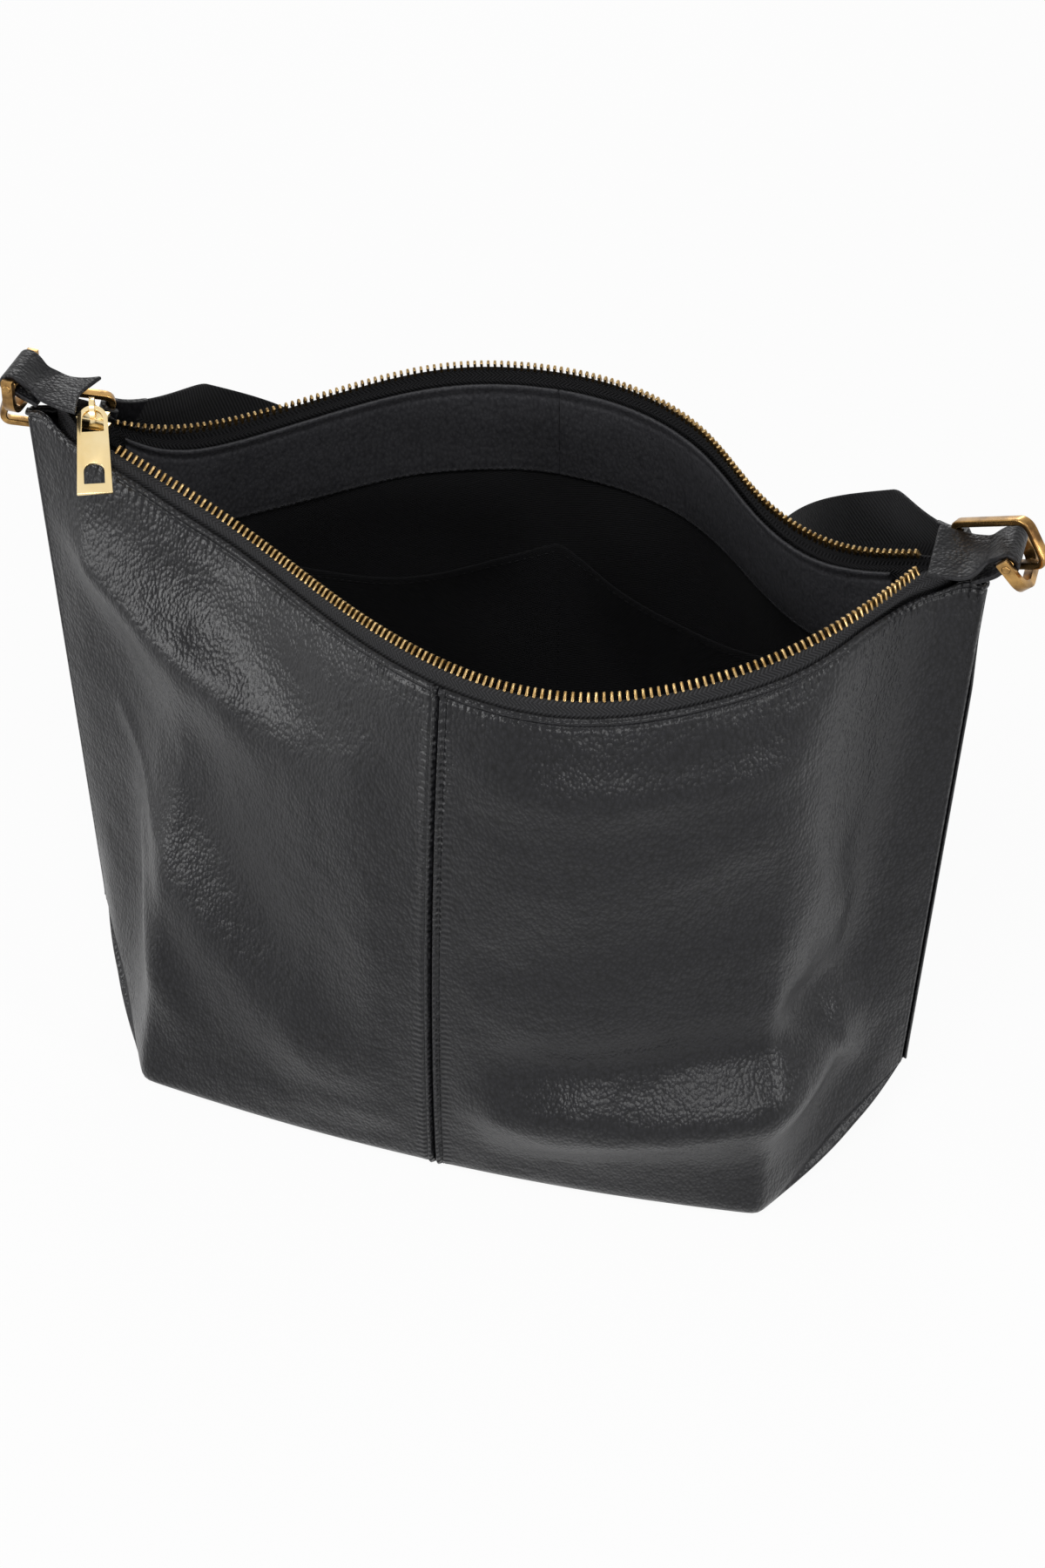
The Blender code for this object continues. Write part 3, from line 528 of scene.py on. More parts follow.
def worn_brass(name, bright, dull, gloss, patch_mm, scratch):
    """Brass: warm yellow metal, with duller brown patches where it has aged and fine scratches from use."""
    made, tree, metal = new_material(name)
    place = add(tree, "ShaderNodeTexCoord").outputs["Object"]
    patch = add(tree, "ShaderNodeTexNoise", None, {"Vector": place, "Scale": 1000 / patch_mm, "Detail": 4.0})
    reach = add(tree, "ShaderNodeMapRange", None, {
        "Value": patch.outputs["Fac"], "From Min": 0.35, "From Max": 0.65,
    })
    tint = add(tree, "ShaderNodeMix", {"data_type": "RGBA"}, {
        "Factor": reach.outputs["Result"], "A": linear(bright), "B": linear(dull),
    })
    polish = add(tree, "ShaderNodeMapRange", None, {
        "Value": reach.outputs["Result"], "To Min": gloss[0], "To Max": gloss[1],
    })
    line_place = add(tree, "ShaderNodeMapping", None, {"Vector": place, "Scale": (1.0, 0.12, 0.4)})
    lines = add(tree, "ShaderNodeTexNoise", None, {
        "Vector": line_place.outputs[0], "Scale": 1 / 0.0005, "Detail": 2.0,
    })
    marks = add(tree, "ShaderNodeBump", None, {
        "Strength": scratch, "Distance": 0.00005, "Height": lines.outputs["Fac"],
    })
    tree.links.new(tint.outputs["Result"], metal.inputs["Base Color"])
    tree.links.new(polish.outputs["Result"], metal.inputs["Roughness"])
    tree.links.new(marks.outputs[0], metal.inputs["Normal"])
    metal.inputs["Metallic"].default_value = 1.0
    return made


def sewing_thread(name):
    """Bonded polyester thread: black, slightly waxy."""
    made, tree, thread = new_material(name)
    place = add(tree, "ShaderNodeTexCoord").outputs["Object"]
    twist = add(tree, "ShaderNodeTexNoise", None, {"Vector": place, "Scale": 1 / 0.0004})
    tint = add(tree, "ShaderNodeMix", {"data_type": "RGBA"}, {
        "Factor": twist.outputs["Fac"], "A": linear("#0c0c0d"), "B": linear("#1c1c1e"),
    })
    tree.links.new(tint.outputs["Result"], thread.inputs["Base Color"])
    thread.inputs["Roughness"].default_value = 0.55
    thread.inputs["Specular IOR Level"].default_value = 0.2
    return made


body_leather = grained_leather("black_cowhide", "#060607", "#1a1a1d", 1.2, (0.3, 0.38), True)
trim_leather = grained_leather("black_trim_cowhide", "#09090b", "#18181b", 1.2, (0.38, 0.48), False)
# The facing is the same black leather as the body, but its colours are set much lighter: painted light that
# stands in for the light the lamps do not bring inside the mouth.
facing_leather_painted_light = grained_leather("black_facing_cowhide_painted_light", "#303033", "#464649", 1.2, (0.4, 0.5), False)
lining_twill = woven_cloth("black_lining_twill", "#101011", "#1e1e20", 1.4, 400.0, 0.2, 0.85)
tape_weave = woven_cloth("black_zip_tape_herringbone", "#0d0d0e", "#29292b", 1.5, 2.2, 0.4, 0.7)
strap_weave = woven_cloth("black_cotton_webbing", "#0d0d0e", "#202022", 1.8, 400.0, 0.5, 0.8)
teeth_brass = worn_brass("stamped_zip_brass", "#b59a6c", "#7a6038", (0.26, 0.4), 3.0, 0.1)
bright_brass = worn_brass("polished_brass", "#efd9a9", "#e6cb92", (0.18, 0.26), 14.0, 0.06)
old_brass = worn_brass("antiqued_brass", "#c39a5e", "#5c4328", (0.2, 0.36), 7.0, 0.2)
thread_black = sewing_thread("black_bonded_thread")

# One stitch, modelled once: a short fat seed of thread
start_object()
bpy.ops.mesh.primitive_uv_sphere_add(segments=8, ring_count=5, radius=1.0)
stitch = bpy.context.object
stitch.name = "stitch_pattern"
bpy.ops.object.mode_set(mode="EDIT")
bpy.ops.mesh.select_all(action="SELECT")
bpy.ops.transform.resize(value=(STITCH_THICK / 2 * MM, STITCH_THICK / 2 * 0.8 * MM, STITCH_LONG / 2 * MM))
bpy.ops.object.mode_set(mode="OBJECT")


def sew(name, line, normal, pitch=STITCH_PITCH, sink=0.12):
    """A row of stitches along a line of points, lying on the surface."""
    steps = np.linalg.norm(np.diff(line, axis=0), axis=1)
    run = np.concatenate([[0.0], np.cumsum(steps)])
    where = np.arange(pitch / 2, run[-1], pitch)
    spot = np.stack([np.interp(where, run, line[:, k]) for k in range(3)], axis=-1)
    ahead = np.stack([np.interp(where + 0.4, run, line[:, k]) for k in range(3)], axis=-1)
    behind = np.stack([np.interp(where - 0.4, run, line[:, k]) for k in range(3)], axis=-1)
    along = unit(ahead - behind)
    up = np.stack([np.interp(where, run, normal[:, k]) for k in range(3)], axis=-1)
    up = unit(up - along * np.sum(up * along, axis=1, keepdims=True))
    axes = np.stack([np.cross(up, along), up, along], axis=1)
    row = scattered(name, stitch, spot - sink * up, axes)
    return dress(row, thread_black, "bag", "zip_tape")


# Leather panels, each from its rim down the wall and under to the middle of the base
def spread(near, last, step):
    """Distances: the given close ones first, then even steps up to the last."""
    count = max(2, int(round((last - near[-1]) / step)))
    return np.concatenate([near, near[-1] + (last - near[-1]) * np.arange(1, count + 1) / count])


SEAM_SIDE = np.array([-0.1, 0.5, 0.9, 1.4, 2.0, 2.5, 2.9, 3.3, 3.9, 4.8, 6.2, 8.5, 11.5])
EDGE_SIDE = np.array([0.0, 0.7, 1.4, 2.1, 2.6, 3.1, 3.8, 5.0, 7.0, 10.0, 14.0])
RIM_SIDE = np.array([0.0, 0.5, 1.1, 1.7, 2.2, 2.6, 3.0, 3.6, 4.6, 6.2, 8.5, 11.5])
centre_half = spread(SEAM_SIDE, BODY_RUN / 4, 4.0)
edge_half = spread(EDGE_SIDE, BODY_RUN / 4, 4.0)
PANEL_S = np.concatenate([edge_half / BODY_RUN, (0.5 - centre_half[::-1] / BODY_RUN)[1:]])
PANEL_ROWS = spread(RIM_SIDE, 0.95 * WALL_TALL, 4.2) / WALL_TALL
TURNS = 8
BASE = 12
# The leather laps a little at its seams, by 0.1 mm at the centre, so that no daylight shows between panels
SIDE_SEAM_LAP = 0.2
BASE_SEAM_LAP = 1.1


def relief(side, s, down):
    """Rolled edges, grooves at the seams and dents along the stitch lines, in mm."""
    off = np.abs(s - 0.5) * BODY_RUN
    edge = np.minimum(s, 1 - s) * BODY_RUN
    # centre seam: groove, rolled lips, raised lap and stitch line
    high = -1.3 * np.exp(-((off / 0.6) ** 2)) + 0.8 * np.exp(-(((off - 1.5) / 0.8) ** 2))
    high += 0.5 * np.clip((5.5 - off) / 2.5, 0, 1)
    high -= 0.8 * np.exp(-(((off - SEAM_STITCH) / 0.5) ** 2))
    # rim: rolled edge, raised hem and stitch line
    high += 0.9 * np.exp(-(((down - 1.0) / 0.8) ** 2)) - 0.3 * np.exp(-((down / 0.5) ** 2))
    high += 0.3 * np.clip((5.0 - down) / 2.0, 0, 1)
    high -= 0.8 * np.exp(-(((down - RIM_STITCH) / 0.5) ** 2))
    # side seam: the back leather stands proud of the front, below the end fittings
    lip = 0.4 if side < 0 else 2.2 * np.clip((down - 22) / 24, 0, 1)
    high += lip * np.clip((4.5 - edge) / 2.0, 0, 1)
    high -= 0.7 * np.exp(-((edge / 0.9) ** 2))
    high -= 0.35 * np.exp(-(((edge - RIM_STITCH) / 0.5) ** 2))
    return high


panels = {}
for side, face in ((-1, "front"), (1, "back")):
    for hand in ("left", "right"):
        stations = PANEL_S if hand == "left" else 1 - PANEL_S[::-1]
        inside, normal = surface(side, stations, PANEL_ROWS, TURNS, BASE)
        step = np.linalg.norm(np.diff(inside, axis=1), axis=2)
        down = np.concatenate([np.zeros((len(stations), 1)), np.cumsum(step, axis=1)], axis=1)
        s = np.broadcast_to(stations[:, None], down.shape)
        high = folds(side, (s - 0.5) * BODY_RUN, down) + relief(side, s, down)
        on_floor = np.zeros_like(down)
        on_floor[:, len(PANEL_ROWS) + 3:] = 1
        high = np.where(on_floor > 0, np.minimum(high, 0) * 0.3, high)
        outside = inside + (LEATHER + high[..., None]) * normal
        reach = np.clip(np.minimum(s, 1 - s) / CORNER_S, 0, 1)
        under = np.clip((np.arange(down.shape[1]) - len(PANEL_ROWS) - TURNS // 2) / (TURNS // 2 + BASE), 0, 1)
        puff = 6.0 * np.sin(math.pi * reach) * np.sin(math.pi * under[None, :] ** 0.6)
        outside += puff[..., None] * np.array([0.865 if hand == "right" else -0.865, 0.5 * side, 0])
        outside += rise(side, stations, down, RIM_RISE)
        outside[..., 1] = side * np.maximum(side * outside[..., 1], GAP * 0.6)
        outside[0 if hand == "left" else -1, :, 1] = -side * SIDE_SEAM_LAP
        outside[:, -1, 1] = -side * BASE_SEAM_LAP * reach[:, -1]
        outside[..., 2] = np.maximum(outside[..., 2], 0.05)
        uv = np.stack([(s - 0.5) * BODY_RUN, down], axis=-1)
        panel = cloth_grid(f"{face}_{hand}_leather", outside, uv, flip=side < 0)
        thicken(panel, PANEL_THICK)
        dress(panel, body_leather, "bag", "black_leather", f"{face}_{hand}_panel")
        panels[side, hand] = (stations, outside, normal)

# Stitching on the panels: beside the centre seam, under the rim and beside the side seams
for (side, hand), (stations, outside, normal) in panels.items():
    face = "front" if side < 0 else "back"
    off = np.abs(stations - 0.5) * BODY_RUN
    edge = np.minimum(stations, 1 - stations) * BODY_RUN
    k = int(np.argmin(np.abs(off - SEAM_STITCH)))
    low = len(PANEL_ROWS) + TURNS
    sew(f"{face}_{hand}_seam_stitches", outside[k, 3:low], normal[k, 3:low])
    k = int(np.argmin(np.abs(edge - RIM_STITCH)))
    top = 4 if side < 0 else 16
    sew(f"{face}_{hand}_side_stitches", outside[k, top:low - 6], normal[k, top:low - 6])
    j = int(np.argmin(np.abs(PANEL_ROWS * WALL_TALL - RIM_STITCH)))
    sew(f"{face}_{hand}_rim_stitches", outside[2:-1, j], normal[2:-1, j])

# Facings: a leather band round the inside of the mouth
FACING_ROWS = np.concatenate([
    np.linspace(1.0, 7.0, 11) / WALL_TALL, np.linspace(0.036, 0.14, 9), [0.147, 0.151, 0.155],
])
for side, face in ((-1, "front"), (1, "back")):
    for hand in ("left", "right"):
        stations = np.linspace(*FACING_S, 70)
        if hand == "right":
            stations = 1 - stations[::-1]
        spots, normal = surface(side, stations, FACING_ROWS)
        spots = spots[:, :len(FACING_ROWS)]
        normal = normal[:, :len(FACING_ROWS)]
        down = np.broadcast_to(FACING_ROWS * WALL_TALL, spots.shape[:2])
        along = np.broadcast_to((stations[:, None] - 0.5) * BODY_RUN, spots.shape[:2])
        high = 0.35 * np.sin(along / 9.0) * np.sin(down / 15.0) - 0.3 * np.exp(-((np.abs(along) / 0.9) ** 2))
        high -= 0.3 * np.exp(-(((down - 36.2) / 0.6) ** 2))
        high += 0.9 * np.exp(-(((down - 2.0) / 1.1) ** 2)) - 0.4 * np.exp(-(((down - 4.9) / 0.8) ** 2))
        skin = spots + (folds(side, along, down) - FACING_IN - high)[..., None] * normal
        skin += rise(side, stations, down, FACING_RISE)
        uv = np.stack([along, down], axis=-1)
        facing = cloth_grid(f"{face}_{hand}_facing_leather", skin, uv, flip=side > 0)
        thicken(facing, FACING_THICK)
        dress(facing, facing_leather_painted_light, "bag", "black_leather", f"{face}_{hand}_facing")
        sew(f"{face}_{hand}_facing_stitches", skin[1:-1, -2], -normal[1:-1, -2])

# Lining: one cloth piece behind each face, down to the middle of the base
LINING_ROWS = np.concatenate([[0.05], np.linspace(0.09, 0.92, 40)])
for side, face in ((-1, "front"), (1, "back")):
    stations = np.concatenate([
        np.linspace(0.024, 0.12, 14), np.linspace(0.13, 0.87, 62), np.linspace(0.88, 0.976, 14),
    ])
    spots, normal = surface(side, stations, LINING_ROWS, 6, 8)
    step = np.linalg.norm(np.diff(spots, axis=1), axis=2)
    down = np.concatenate([np.zeros((len(stations), 1)), np.cumsum(step, axis=1)], axis=1) + 0.05 * WALL_TALL
    along = np.broadcast_to((stations[:, None] - 0.5) * BODY_RUN, down.shape)
    slack = np.clip((down - 40) / 60, 0, 1) * np.clip((WALL_TALL - down) / 40, 0, 1)
    pocket = np.clip((along - (POCKET_S[0] - 0.5) * BODY_RUN + 14) / 12, 0, 1)
    pocket = pocket * np.clip(((POCKET_S[1] - 0.5) * BODY_RUN + 14 - along) / 12, 0, 1)
    pocket = pocket * (1.0 if side > 0 else 0.0)
    high = 0.5 + 1.2 * slack * (1 - pocket) * (1 + np.sin(along / 13.0 + down / 29.0) * np.sin(down / 37.0))
    cloth = spots + (folds(side, along, down) - 0.9 - high)[..., None] * normal
    cloth[..., 1] = side * np.maximum(side * cloth[..., 1], GAP)
    cloth[:, -1, 1] = -side * BASE_SEAM_LAP
    uv = np.stack([along + down * 0.6, along * 0.6 - down], axis=-1)
    lining = cloth_grid(f"{face}_lining_twill", cloth, uv, flip=side > 0)
    thicken(lining, LINING_THICK)
    dress(lining, lining_twill, "bag", "lining_cloth", f"{face}_lining")

# Slip pocket on the back lining, gaping at its top edge on each side of the middle stitching
stations = np.linspace(POCKET_S[0] + 0.005, POCKET_S[1] - 0.005, 90)
POCKET_ROWS = np.linspace(0.28, 0.83, 34)
spots, normal = surface(1, stations, POCKET_ROWS)
spots = spots[:, :len(POCKET_ROWS)].copy()
normal = normal[:, :len(POCKET_ROWS)]
part = (stations - POCKET_S[0]) / (POCKET_S[1] - POCKET_S[0])
swing = np.abs(np.sin(2 * math.pi * part))[:, None]
depth_share = np.linspace(0, 1, len(POCKET_ROWS))[None, :]
lower = 0.35 * 34 * swing * (1 - depth_share) ** 2
drop = unit(spots[:, 1:2] - spots[:, :1])
spots = spots + drop * lower[..., None]
gape = POCKET_GAPE * swing * (1 - depth_share) ** 1.6
along = np.broadcast_to((stations[:, None] - 0.5) * BODY_RUN, spots.shape[:2])
down = np.broadcast_to(POCKET_ROWS * WALL_TALL, spots.shape[:2])
skin = spots + (folds(1, along, down) - 3.0 - gape)[..., None] * normal
uv = np.stack([along + down * 0.6, along * 0.6 - down], axis=-1)
pocket = cloth_grid("slip_pocket_twill", skin, uv, flip=True)
thicken(pocket, POCKET_THICK)
dress(pocket, lining_twill, "bag", "lining_cloth", "slip_pocket")
sew("pocket_edge_stitches", skin[1:-1, 1], -normal[1:-1, 1])
middle = len(stations) // 2
sew("pocket_middle_stitches", skin[middle, 1:], -normal[middle, 1:])


# Zip tape and teeth
def zip_frame(side, share):
    """Point on the tooth line, direction along it, direction up the tape, and the tape's normal."""
    spot = TEETH[side](share)
    run = unit(TEETH[side](np.minimum(1.0, share + 0.004)) - TEETH[side](np.maximum(0.0, share - 0.004)))
    whole = RIMS[side].length
    rim = RIMS[side]((ZIP_START + share * (whole - 2 * ZIP_START)) / whole)
    up = spot - rim
    up = unit(up - run * np.sum(up * run, axis=1, keepdims=True))
    return spot, run, up, np.cross(run, up)


start_object()
bpy.ops.mesh.primitive_cube_add(size=1)
tooth = bpy.context.object
tooth.name = "tooth_pattern"
bpy.ops.object.mode_set(mode="EDIT")
bpy.ops.mesh.select_all(action="SELECT")
bpy.ops.transform.resize(value=(1.0 * MM, 3.4 * MM, 2.5 * MM))
bpy.ops.object.mode_set(mode="OBJECT")
for corner in tooth.data.vertices:
    if corner.co.y > 0:
        corner.co.z *= 0.72
ease = tooth.modifiers.new("eased_edges", "BEVEL")
ease.width = 0.35 * MM
ease.segments = 2
finish_modifiers(tooth)

for side, face in ((-1, "front"), (1, "back")):
    stations = np.linspace(0.047, 0.953, 190)
    spots, normal = surface(side, stations, (0.0, 0.02, 0.04))
    whole = RIMS[side].length
    share = np.clip((stations * whole - ZIP_START) / (whole - 2 * ZIP_START), 0, 1)
    spot, run, up, flat = zip_frame(side, share)
    flat = flat * np.sign(np.sum(flat * normal[:, 0], axis=1, keepdims=True))
    top = spot - 0.9 * up
    sewn = spots[:, 0] - 0.75 * normal[:, 0]
    columns = [top]
    for v in (0.12, 0.3, 0.5, 0.7, 0.87):
        columns.append(top + (sewn - top) * v + flat * 0.3 * math.sin(math.pi * v))
    columns += [sewn, spots[:, 1] - 0.75 * normal[:, 1], spots[:, 2] - 0.75 * normal[:, 2]]
    grid = np.stack(columns, axis=1)
    if side > 0:
        climb = np.exp(-(((grid[:, :1, 0] + 152) / 8) ** 2)) * np.linspace(7, 0, grid.shape[1])[None, :]
        grid[..., 2] += climb
    drops = np.linspace(0, 11, grid.shape[1])
    for end, (x, z) in ((0, TAIL_LEFT), (-1, TAIL_RIGHT)):
        tail = np.array([(x, side * 0.8, z - d) for d in drops])
        bridge = [grid[end] + (tail - grid[end]) * v for v in (0.25, 0.5, 0.75, 1.0)]
        grid = np.concatenate([bridge[::-1], grid] if end == 0 else [grid, bridge])
    length = np.concatenate([[0.0], np.cumsum(np.linalg.norm(np.diff(grid[:, 0], axis=0), axis=1))])
    width = np.concatenate([[0.0], np.cumsum(np.linalg.norm(np.diff(grid[len(grid) // 2], axis=0), axis=1))])
    uv = np.stack(np.broadcast_arrays(length[:, None], width[None, :]), axis=-1)
    tape = cloth_grid(f"{face}_zip_tape_cloth", grid, uv, flip=side < 0)
    thicken(tape, TAPE_THICK, offset=0.0)
    dress(tape, tape_weave, "bag", "zip_tape", f"{face}_zip_tape")

    fine = TEETH[side](np.linspace(0, 1, 2000))
    first = np.argmax(fine[:, 0] > FIRST_TOOTH_X[side]) / 1999
    last = np.argmax(fine[:, 0] > LAST_TOOTH_X) / 1999
    count = int((last - first) * TEETH[side].length / PITCH)
    share = first + (np.arange(count) + 0.5) * PITCH / TEETH[side].length
    spot, run, up, flat = zip_frame(side, share)
    row = scattered(f"{face}_zip_brass_teeth", tooth, spot + 0.3 * up, np.stack([run, up, flat], axis=1))
    dress(row, teeth_brass, "bag", "zip_brass", f"{face}_zip_teeth")
bpy.data.objects.remove(tooth, do_unlink=True)

# Metal fittings: the solids with their edges eased
for node, body, slot, look, width in (
    ("zip_slider", "slider", "bright_brass", bright_brass, 0.45),
    ("zip_puller", "puller", "bright_brass", bright_brass, 0.3),
    ("left_bow", "left_bow", "antique_brass", old_brass, 0.5),
    ("right_bow", "right_bow", "antique_brass", old_brass, 0.5),
    ("left_link_ring", "left_ring", "antique_brass", old_brass, 0.6),
    ("right_link_ring", "right_ring", "antique_brass", old_brass, 0.6),
    ("left_pin", "bag", "antique_brass", old_brass, 0.3),
    ("right_pin", "bag", "antique_brass", old_brass, 0.3),
):
    fitting = rounded_copy(node, node + "_metal", width)
    dress(fitting, look, body, slot, node)


# Leather strips: the end tabs and the chapes
def strip(name, path, across, half, thick, look, slot, node, columns=9, end_cut=0.0, sag=0.0):
    """A flat strip along a path; end_cut pulls the middle of its first edge in, and sag dents its middle."""
    path = np.asarray(path, float)
    run = unit(np.gradient(path, axis=0))
    across = np.broadcast_to(np.asarray(across, float), path.shape)
    wide = unit(across - run * np.sum(across * run, axis=1, keepdims=True))
    place = np.concatenate([[-1.0, -0.96], np.linspace(-0.85, 0.85, columns - 4), [0.96, 1.0]])
    grid = path[:, None] + (np.asarray(half)[:, None] * place[None, :])[..., None] * wide[:, None]
    if end_cut:
        pull = end_cut * np.clip(1 - np.abs(place), 0, 1)
        ease = np.clip(1 - np.arange(len(path)) / 8, 0, 1)
        grid += (ease[:, None] * pull[None, :])[..., None] * run[:, None]
    up = np.cross(run, wide)
    dent = np.broadcast_to(sag, (len(path),))[:, None] * (1 - place[None, :] ** 2)
    grid = grid - dent[..., None] * up[:, None]
    length = np.concatenate([[0.0], np.cumsum(np.linalg.norm(np.diff(path, axis=0), axis=1))])
    uv = np.stack(np.broadcast_arrays(length[:, None], np.asarray(half)[:, None] * place[None, :]), axis=-1)
    made = cloth_grid(name, grid, uv)
    thicken(made, thick, offset=0.0)
    dress(made, look, "bag", slot, node)
    return grid, up


def tab_path(pin, hand, patch, under):
    px, _, pz = pin
    turn_r = PIN_R + 0.35 + TAB / 2
    arc = [math.radians(118 - 230 * k / 24) for k in range(25)]
    loop = [(px + hand * turn_r * math.cos(a), 0, pz + turn_r * math.sin(a)) for a in arc]
    lead = smooth_path([(x, 0, z) for x, z in patch] + loop[:2])(np.linspace(0, 0.94, 22))
    tail = smooth_path(loop[-2:] + [(x, 0, z) for x, z in under])(np.linspace(0.15, 1, 8))
    return np.concatenate([lead, loop, tail]), len(lead)


for name, pin, hand, patch, under, cut in (
    ("left", PIN_LEFT, -1, [(-146.5, 276.0), (-151, 275.5), (-156, 275.6), (-161, 277.0), (-166.5, 281.2)],
     [(-169.3, 277.0), (-166.0, 275.6), (-162.5, 273.9)], 4.0),
    ("right", PIN_RIGHT, 1, [(153.5, 269.2), (158, 269.4), (163, 269.2), (168, 270.4), (173.5, 275.2)],
     [(176.0, 270.0), (172.0, 267.4), (168.0, 265.4)], 0.0),
):
    path, lead = tab_path(pin, hand, patch, under)
    share = np.concatenate([np.linspace(0, 1, lead), np.ones(len(path) - lead)])
    narrowing = np.clip(1 - (share - (0.0 if cut else 0.4)) / 0.45, 0, 1) ** 1.3
    half = LOOP_HALF + (PATCH_HALF - LOOP_HALF) * narrowing
    neck = np.exp(-(((share - 0.78) / 0.12) ** 2))
    half = half - 1.4 * neck
    twist = np.clip(1 - share / 0.8, 0, 1)[:, None] * np.array([(0, 0, 0) if cut else (-0.36, 0, 0.16)])
    across = np.array([(0, hand, 0)]) + hand * twist
    grid, up = strip(f"{name}_tab_leather", path, across, half, TAB, trim_leather,
                     "black_leather", f"{name}_end_tab", end_cut=cut, sag=0.9 * neck)
    k = int(np.argmax(neck))
    facing_up = up[k] if up[k][2] > 0 else -up[k]
    line = grid[k, 1:-1] + (TAB / 2) * facing_up
    sew(f"{name}_tab_stitches", line, np.broadcast_to(facing_up, line.shape), 2.6)


# Strap: webbing hung behind the bag, drawn in at each end to a leather chape round the ring's bar
def ring_frame(turn, tilt, lean, hand):
    """Long axis from the strap end to the bow end, and the upward width axis."""
    a, b, c = (math.radians(v) for v in (turn, tilt, lean))
    long_way = np.array([hand * math.cos(a) * math.cos(b), -math.sin(a) * math.cos(b), math.sin(b)])
    up = unit(np.array([0, 0, 1.0]) - long_way[2] * long_way)
    front = np.array([-hand * math.sin(a), -math.cos(a), 0])
    return long_way, up * math.cos(c) - front * math.sin(c)


spine = smooth_path([
    STRAP_LEFT, (-106, 68, 214), (-84, 94, 176), (-66, 113, 120), (-48, 122, 60), (-24, 130, 10),
    (0, 131, 1.6), (24, 130, 10), (50, 122, 60), (62, 112, 120), (77, 95, 170), (103, 62, 215), STRAP_RIGHT,
])
route = spine(np.linspace(0, 1, 220))
route[:, 2] = np.maximum(route[:, 2], STRAP_THICK / 2 + 0.05)
upright = np.clip((route[:, 2:3] - 60) / 170, 0, 1) ** 1.5
lay = unit(upright * np.array([0, 0.45, 0.89]) + (1 - upright) * np.array([0, 1.0, 0.0]))
pieces = [(route, lay, np.full(len(route), STRAP_WIDE / 2))]
for name, far_end, axes, at, outward in (
    ("left", (-178.8, -0.4, 267.95), ring_frame(32, 18, -10, -1), 0, (-0.6, 0.6, -0.4)),
    ("right", (187.2, -4.3, 282.7), ring_frame(37.5, 31, -11, 1), -1, (0.6, 0.6, -0.4)),
):
    long_way, up = axes
    eye = np.array(far_end) - (RING_LONG - RING_BAR) * long_way
    flat = np.cross(long_way, up)
    flat = flat * np.sign(np.dot(flat, outward))
    turn_r = RING_DEEP / 2 + 0.75 + CHAPE / 2
    arc = np.radians(np.linspace(-125, 110, 28))[:, None]
    wrap = eye + turn_r * (np.cos(arc) * long_way + np.sin(arc) * flat)
    away = unit(route[0] - route[1]) if at == 0 else unit(route[-1] - route[-2])
    one = wrap[-1] + 9 * unit(wrap[-1] - wrap[-2])
    two = route[at] + 11.4 * away
    stop = route[at] + 2.4 * away
    v = np.linspace(0, 1, 26)[1:, None]
    lead = (1 - v) ** 3 * wrap[-1] + 3 * v * (1 - v) ** 2 * one + 3 * v**2 * (1 - v) * two + v**3 * stop
    across = up + (lay[at] - up) * v
    half = 4.3 + (STRAP_WIDE / 2 - 4.3) * (3 * v**2 - 2 * v**3)[:, 0]
    path = np.concatenate([wrap, lead[:8]])
    turn = np.concatenate([np.broadcast_to(up, wrap.shape), across[:8]])
    chape_half = np.concatenate([np.full(28, 4.6), half[:8] + 0.3])
    strip(f"{name}_chape_leather", path, turn, chape_half, CHAPE + 0.4,
          trim_leather, "black_leather", f"{name}_chape")
    end = (lead[4:][::-1], across[4:][::-1], half[4:][::-1])
    if at == 0:
        pieces.insert(0, tuple(part[::-1] for part in end))
    else:
        pieces.append(end)
path, turn, half = (np.concatenate(part) for part in zip(*pieces))
strip("strap_cotton_webbing", path, turn, half, STRAP_THICK - 0.2, strap_weave,
      "strap_webbing", "strap_webbing", columns=13)
bpy.data.objects.remove(stitch, do_unlink=True)

# Floor, light and camera
start_object()
bpy.ops.mesh.primitive_plane_add(size=12)
floor = bpy.context.object
floor.name = "studio_floor"
paper, tree, _ = new_material("white_paper_sweep")
tree.nodes.clear()
seen = add(tree, "ShaderNodeLightPath")
direct = add(tree, "ShaderNodeMath", {"operation": "MAXIMUM"}, {
    0: seen.outputs["Is Camera Ray"], 1: seen.outputs["Is Glossy Ray"],
})
either = add(tree, "ShaderNodeMath", {"operation": "MAXIMUM"}, {
    0: direct.outputs[0], 1: seen.outputs["Is Transmission Ray"],
})
amount = add(tree, "ShaderNodeMath", {"operation": "MULTIPLY"}, {0: either.outputs[0], 1: 0.94})
matt = add(tree, "ShaderNodeBsdfDiffuse", None, {"Color": linear("#f4f4f4")})
glow = add(tree, "ShaderNodeEmission", None, {"Color": (1, 1, 1, 1), "Strength": 1.0})
mixed = add(tree, "ShaderNodeMixShader", None, {0: amount.outputs[0], 1: matt.outputs[0], 2: glow.outputs[0]})
add(tree, "ShaderNodeOutputMaterial", None, {"Surface": mixed.outputs[0]})
floor.data.materials.append(paper)

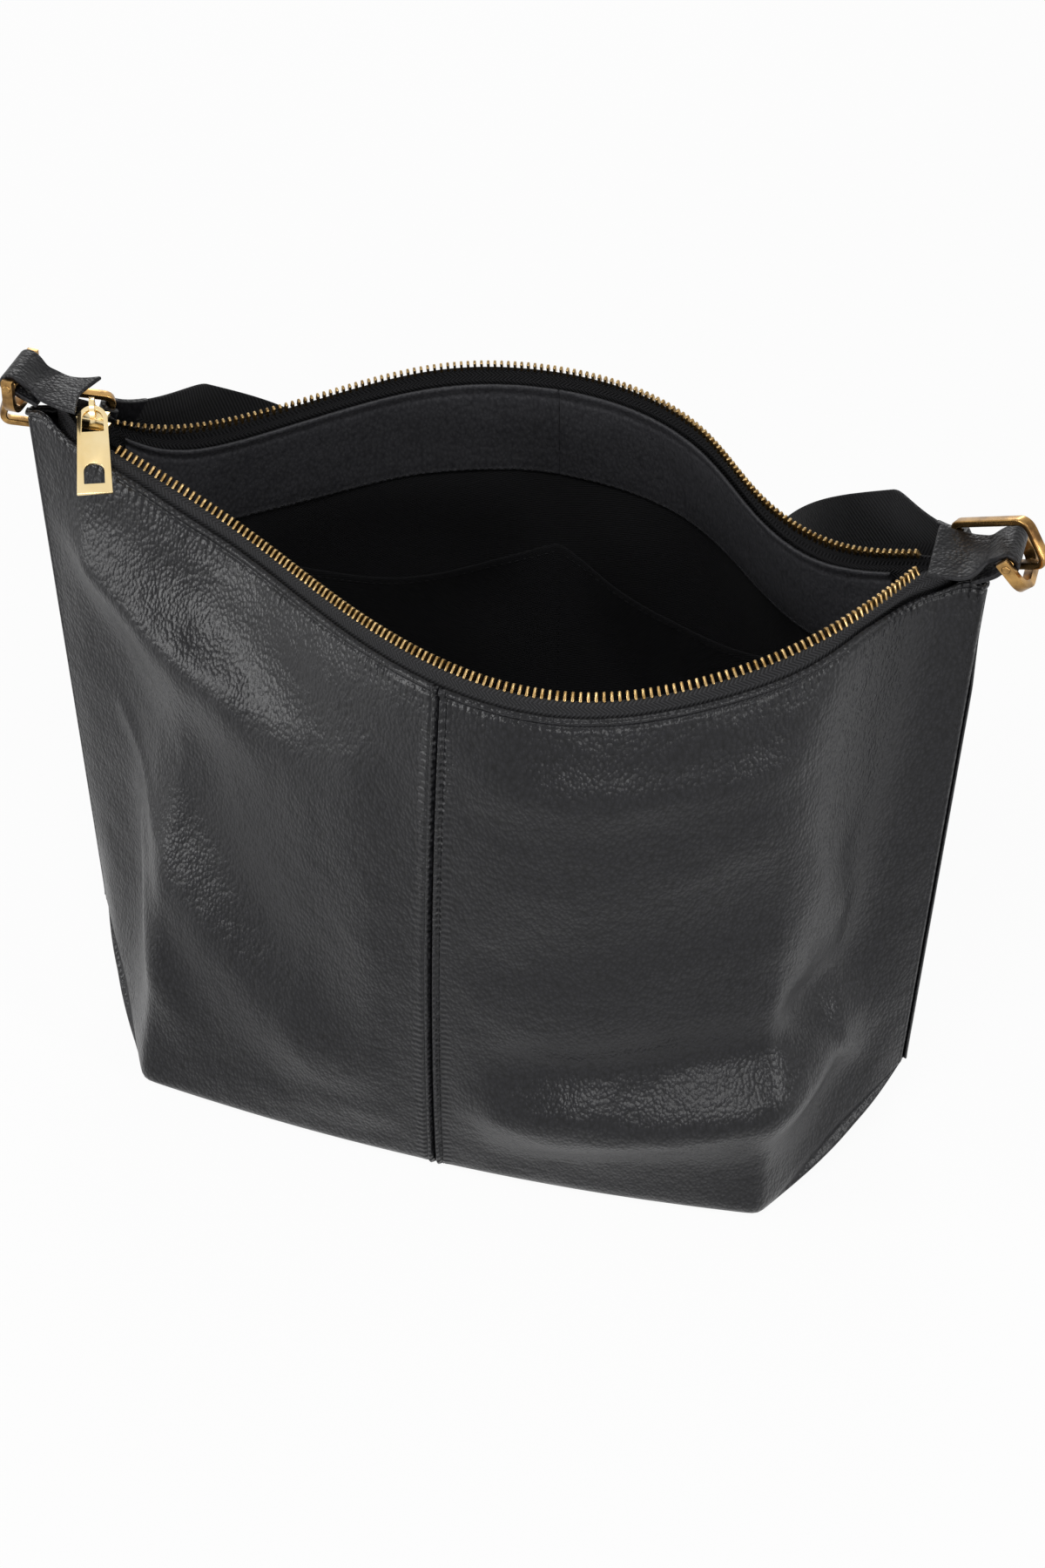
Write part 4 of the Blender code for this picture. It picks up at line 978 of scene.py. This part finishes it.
world = bpy.data.worlds.new("studio_air")
bpy.context.scene.world = world
world.use_nodes = True
sky = world.node_tree
back = sky.nodes["Background"]
ray = add(sky, "ShaderNodeLightPath")
first_ray = add(sky, "ShaderNodeMath", {"operation": "MAXIMUM"}, {
    0: ray.outputs["Is Camera Ray"], 1: ray.outputs["Is Glossy Ray"],
})
any_ray = add(sky, "ShaderNodeMath", {"operation": "MAXIMUM"}, {
    0: first_ray.outputs[0], 1: ray.outputs["Is Transmission Ray"],
})
strength = add(sky, "ShaderNodeMapRange", None, {"Value": any_ray.outputs[0], "To Min": 0.15, "To Max": 1.0})
back.inputs["Color"].default_value = (1, 1, 1, 1)
sky.links.new(strength.outputs["Result"], back.inputs["Strength"])


def softbox(name, spot, aim, size, power):
    lamp = bpy.data.lights.new(name, "AREA")
    lamp.shape = "RECTANGLE"
    lamp.size, lamp.size_y = size
    lamp.energy = power
    box = bpy.data.objects.new(name, lamp)
    bpy.context.scene.collection.objects.link(box)
    box.location = spot
    box.rotation_euler = (Vector(aim) - Vector(spot)).to_track_quat("-Z", "Y").to_euler()


softbox("top_softbox", (0.1, -0.9, 1.6), (0, 0, 0.2), (0.8, 0.5), 10)
softbox("left_softbox", (-1.4, -0.85, 0.3), (0, 0, 0.15), (0.7, 0.75), 16)
softbox("front_softbox", (0.4, -1.6, 0.25), (0, 0, 0.1), (0.8, 0.45), 11)
softbox("right_softbox", (1.4, -0.6, 0.35), (0, 0, 0.12), (0.5, 0.7), 11)
softbox("back_softbox", (-0.5, 1.6, 0.9), (0, 0, 0.12), (0.8, 0.6), 8)

CAMERA_SPOT = np.array([237.03, -769.42, 819.43])
CAMERA_AIM = np.array([-40.0, 179.1, -25.1])
lens = bpy.data.cameras.new("studio_camera")
lens.sensor_width = 36.0
lens.lens = 65.1
camera = bpy.data.objects.new("studio_camera", lens)
bpy.context.scene.collection.objects.link(camera)
camera.location = Vector(CAMERA_SPOT * MM + ORIGIN)
look = Vector((CAMERA_AIM - CAMERA_SPOT) * MM)
camera.rotation_euler = look.to_track_quat("-Z", "Y").to_euler()
bpy.context.scene.camera = camera
bpy.context.scene.view_settings.view_transform = "Standard"
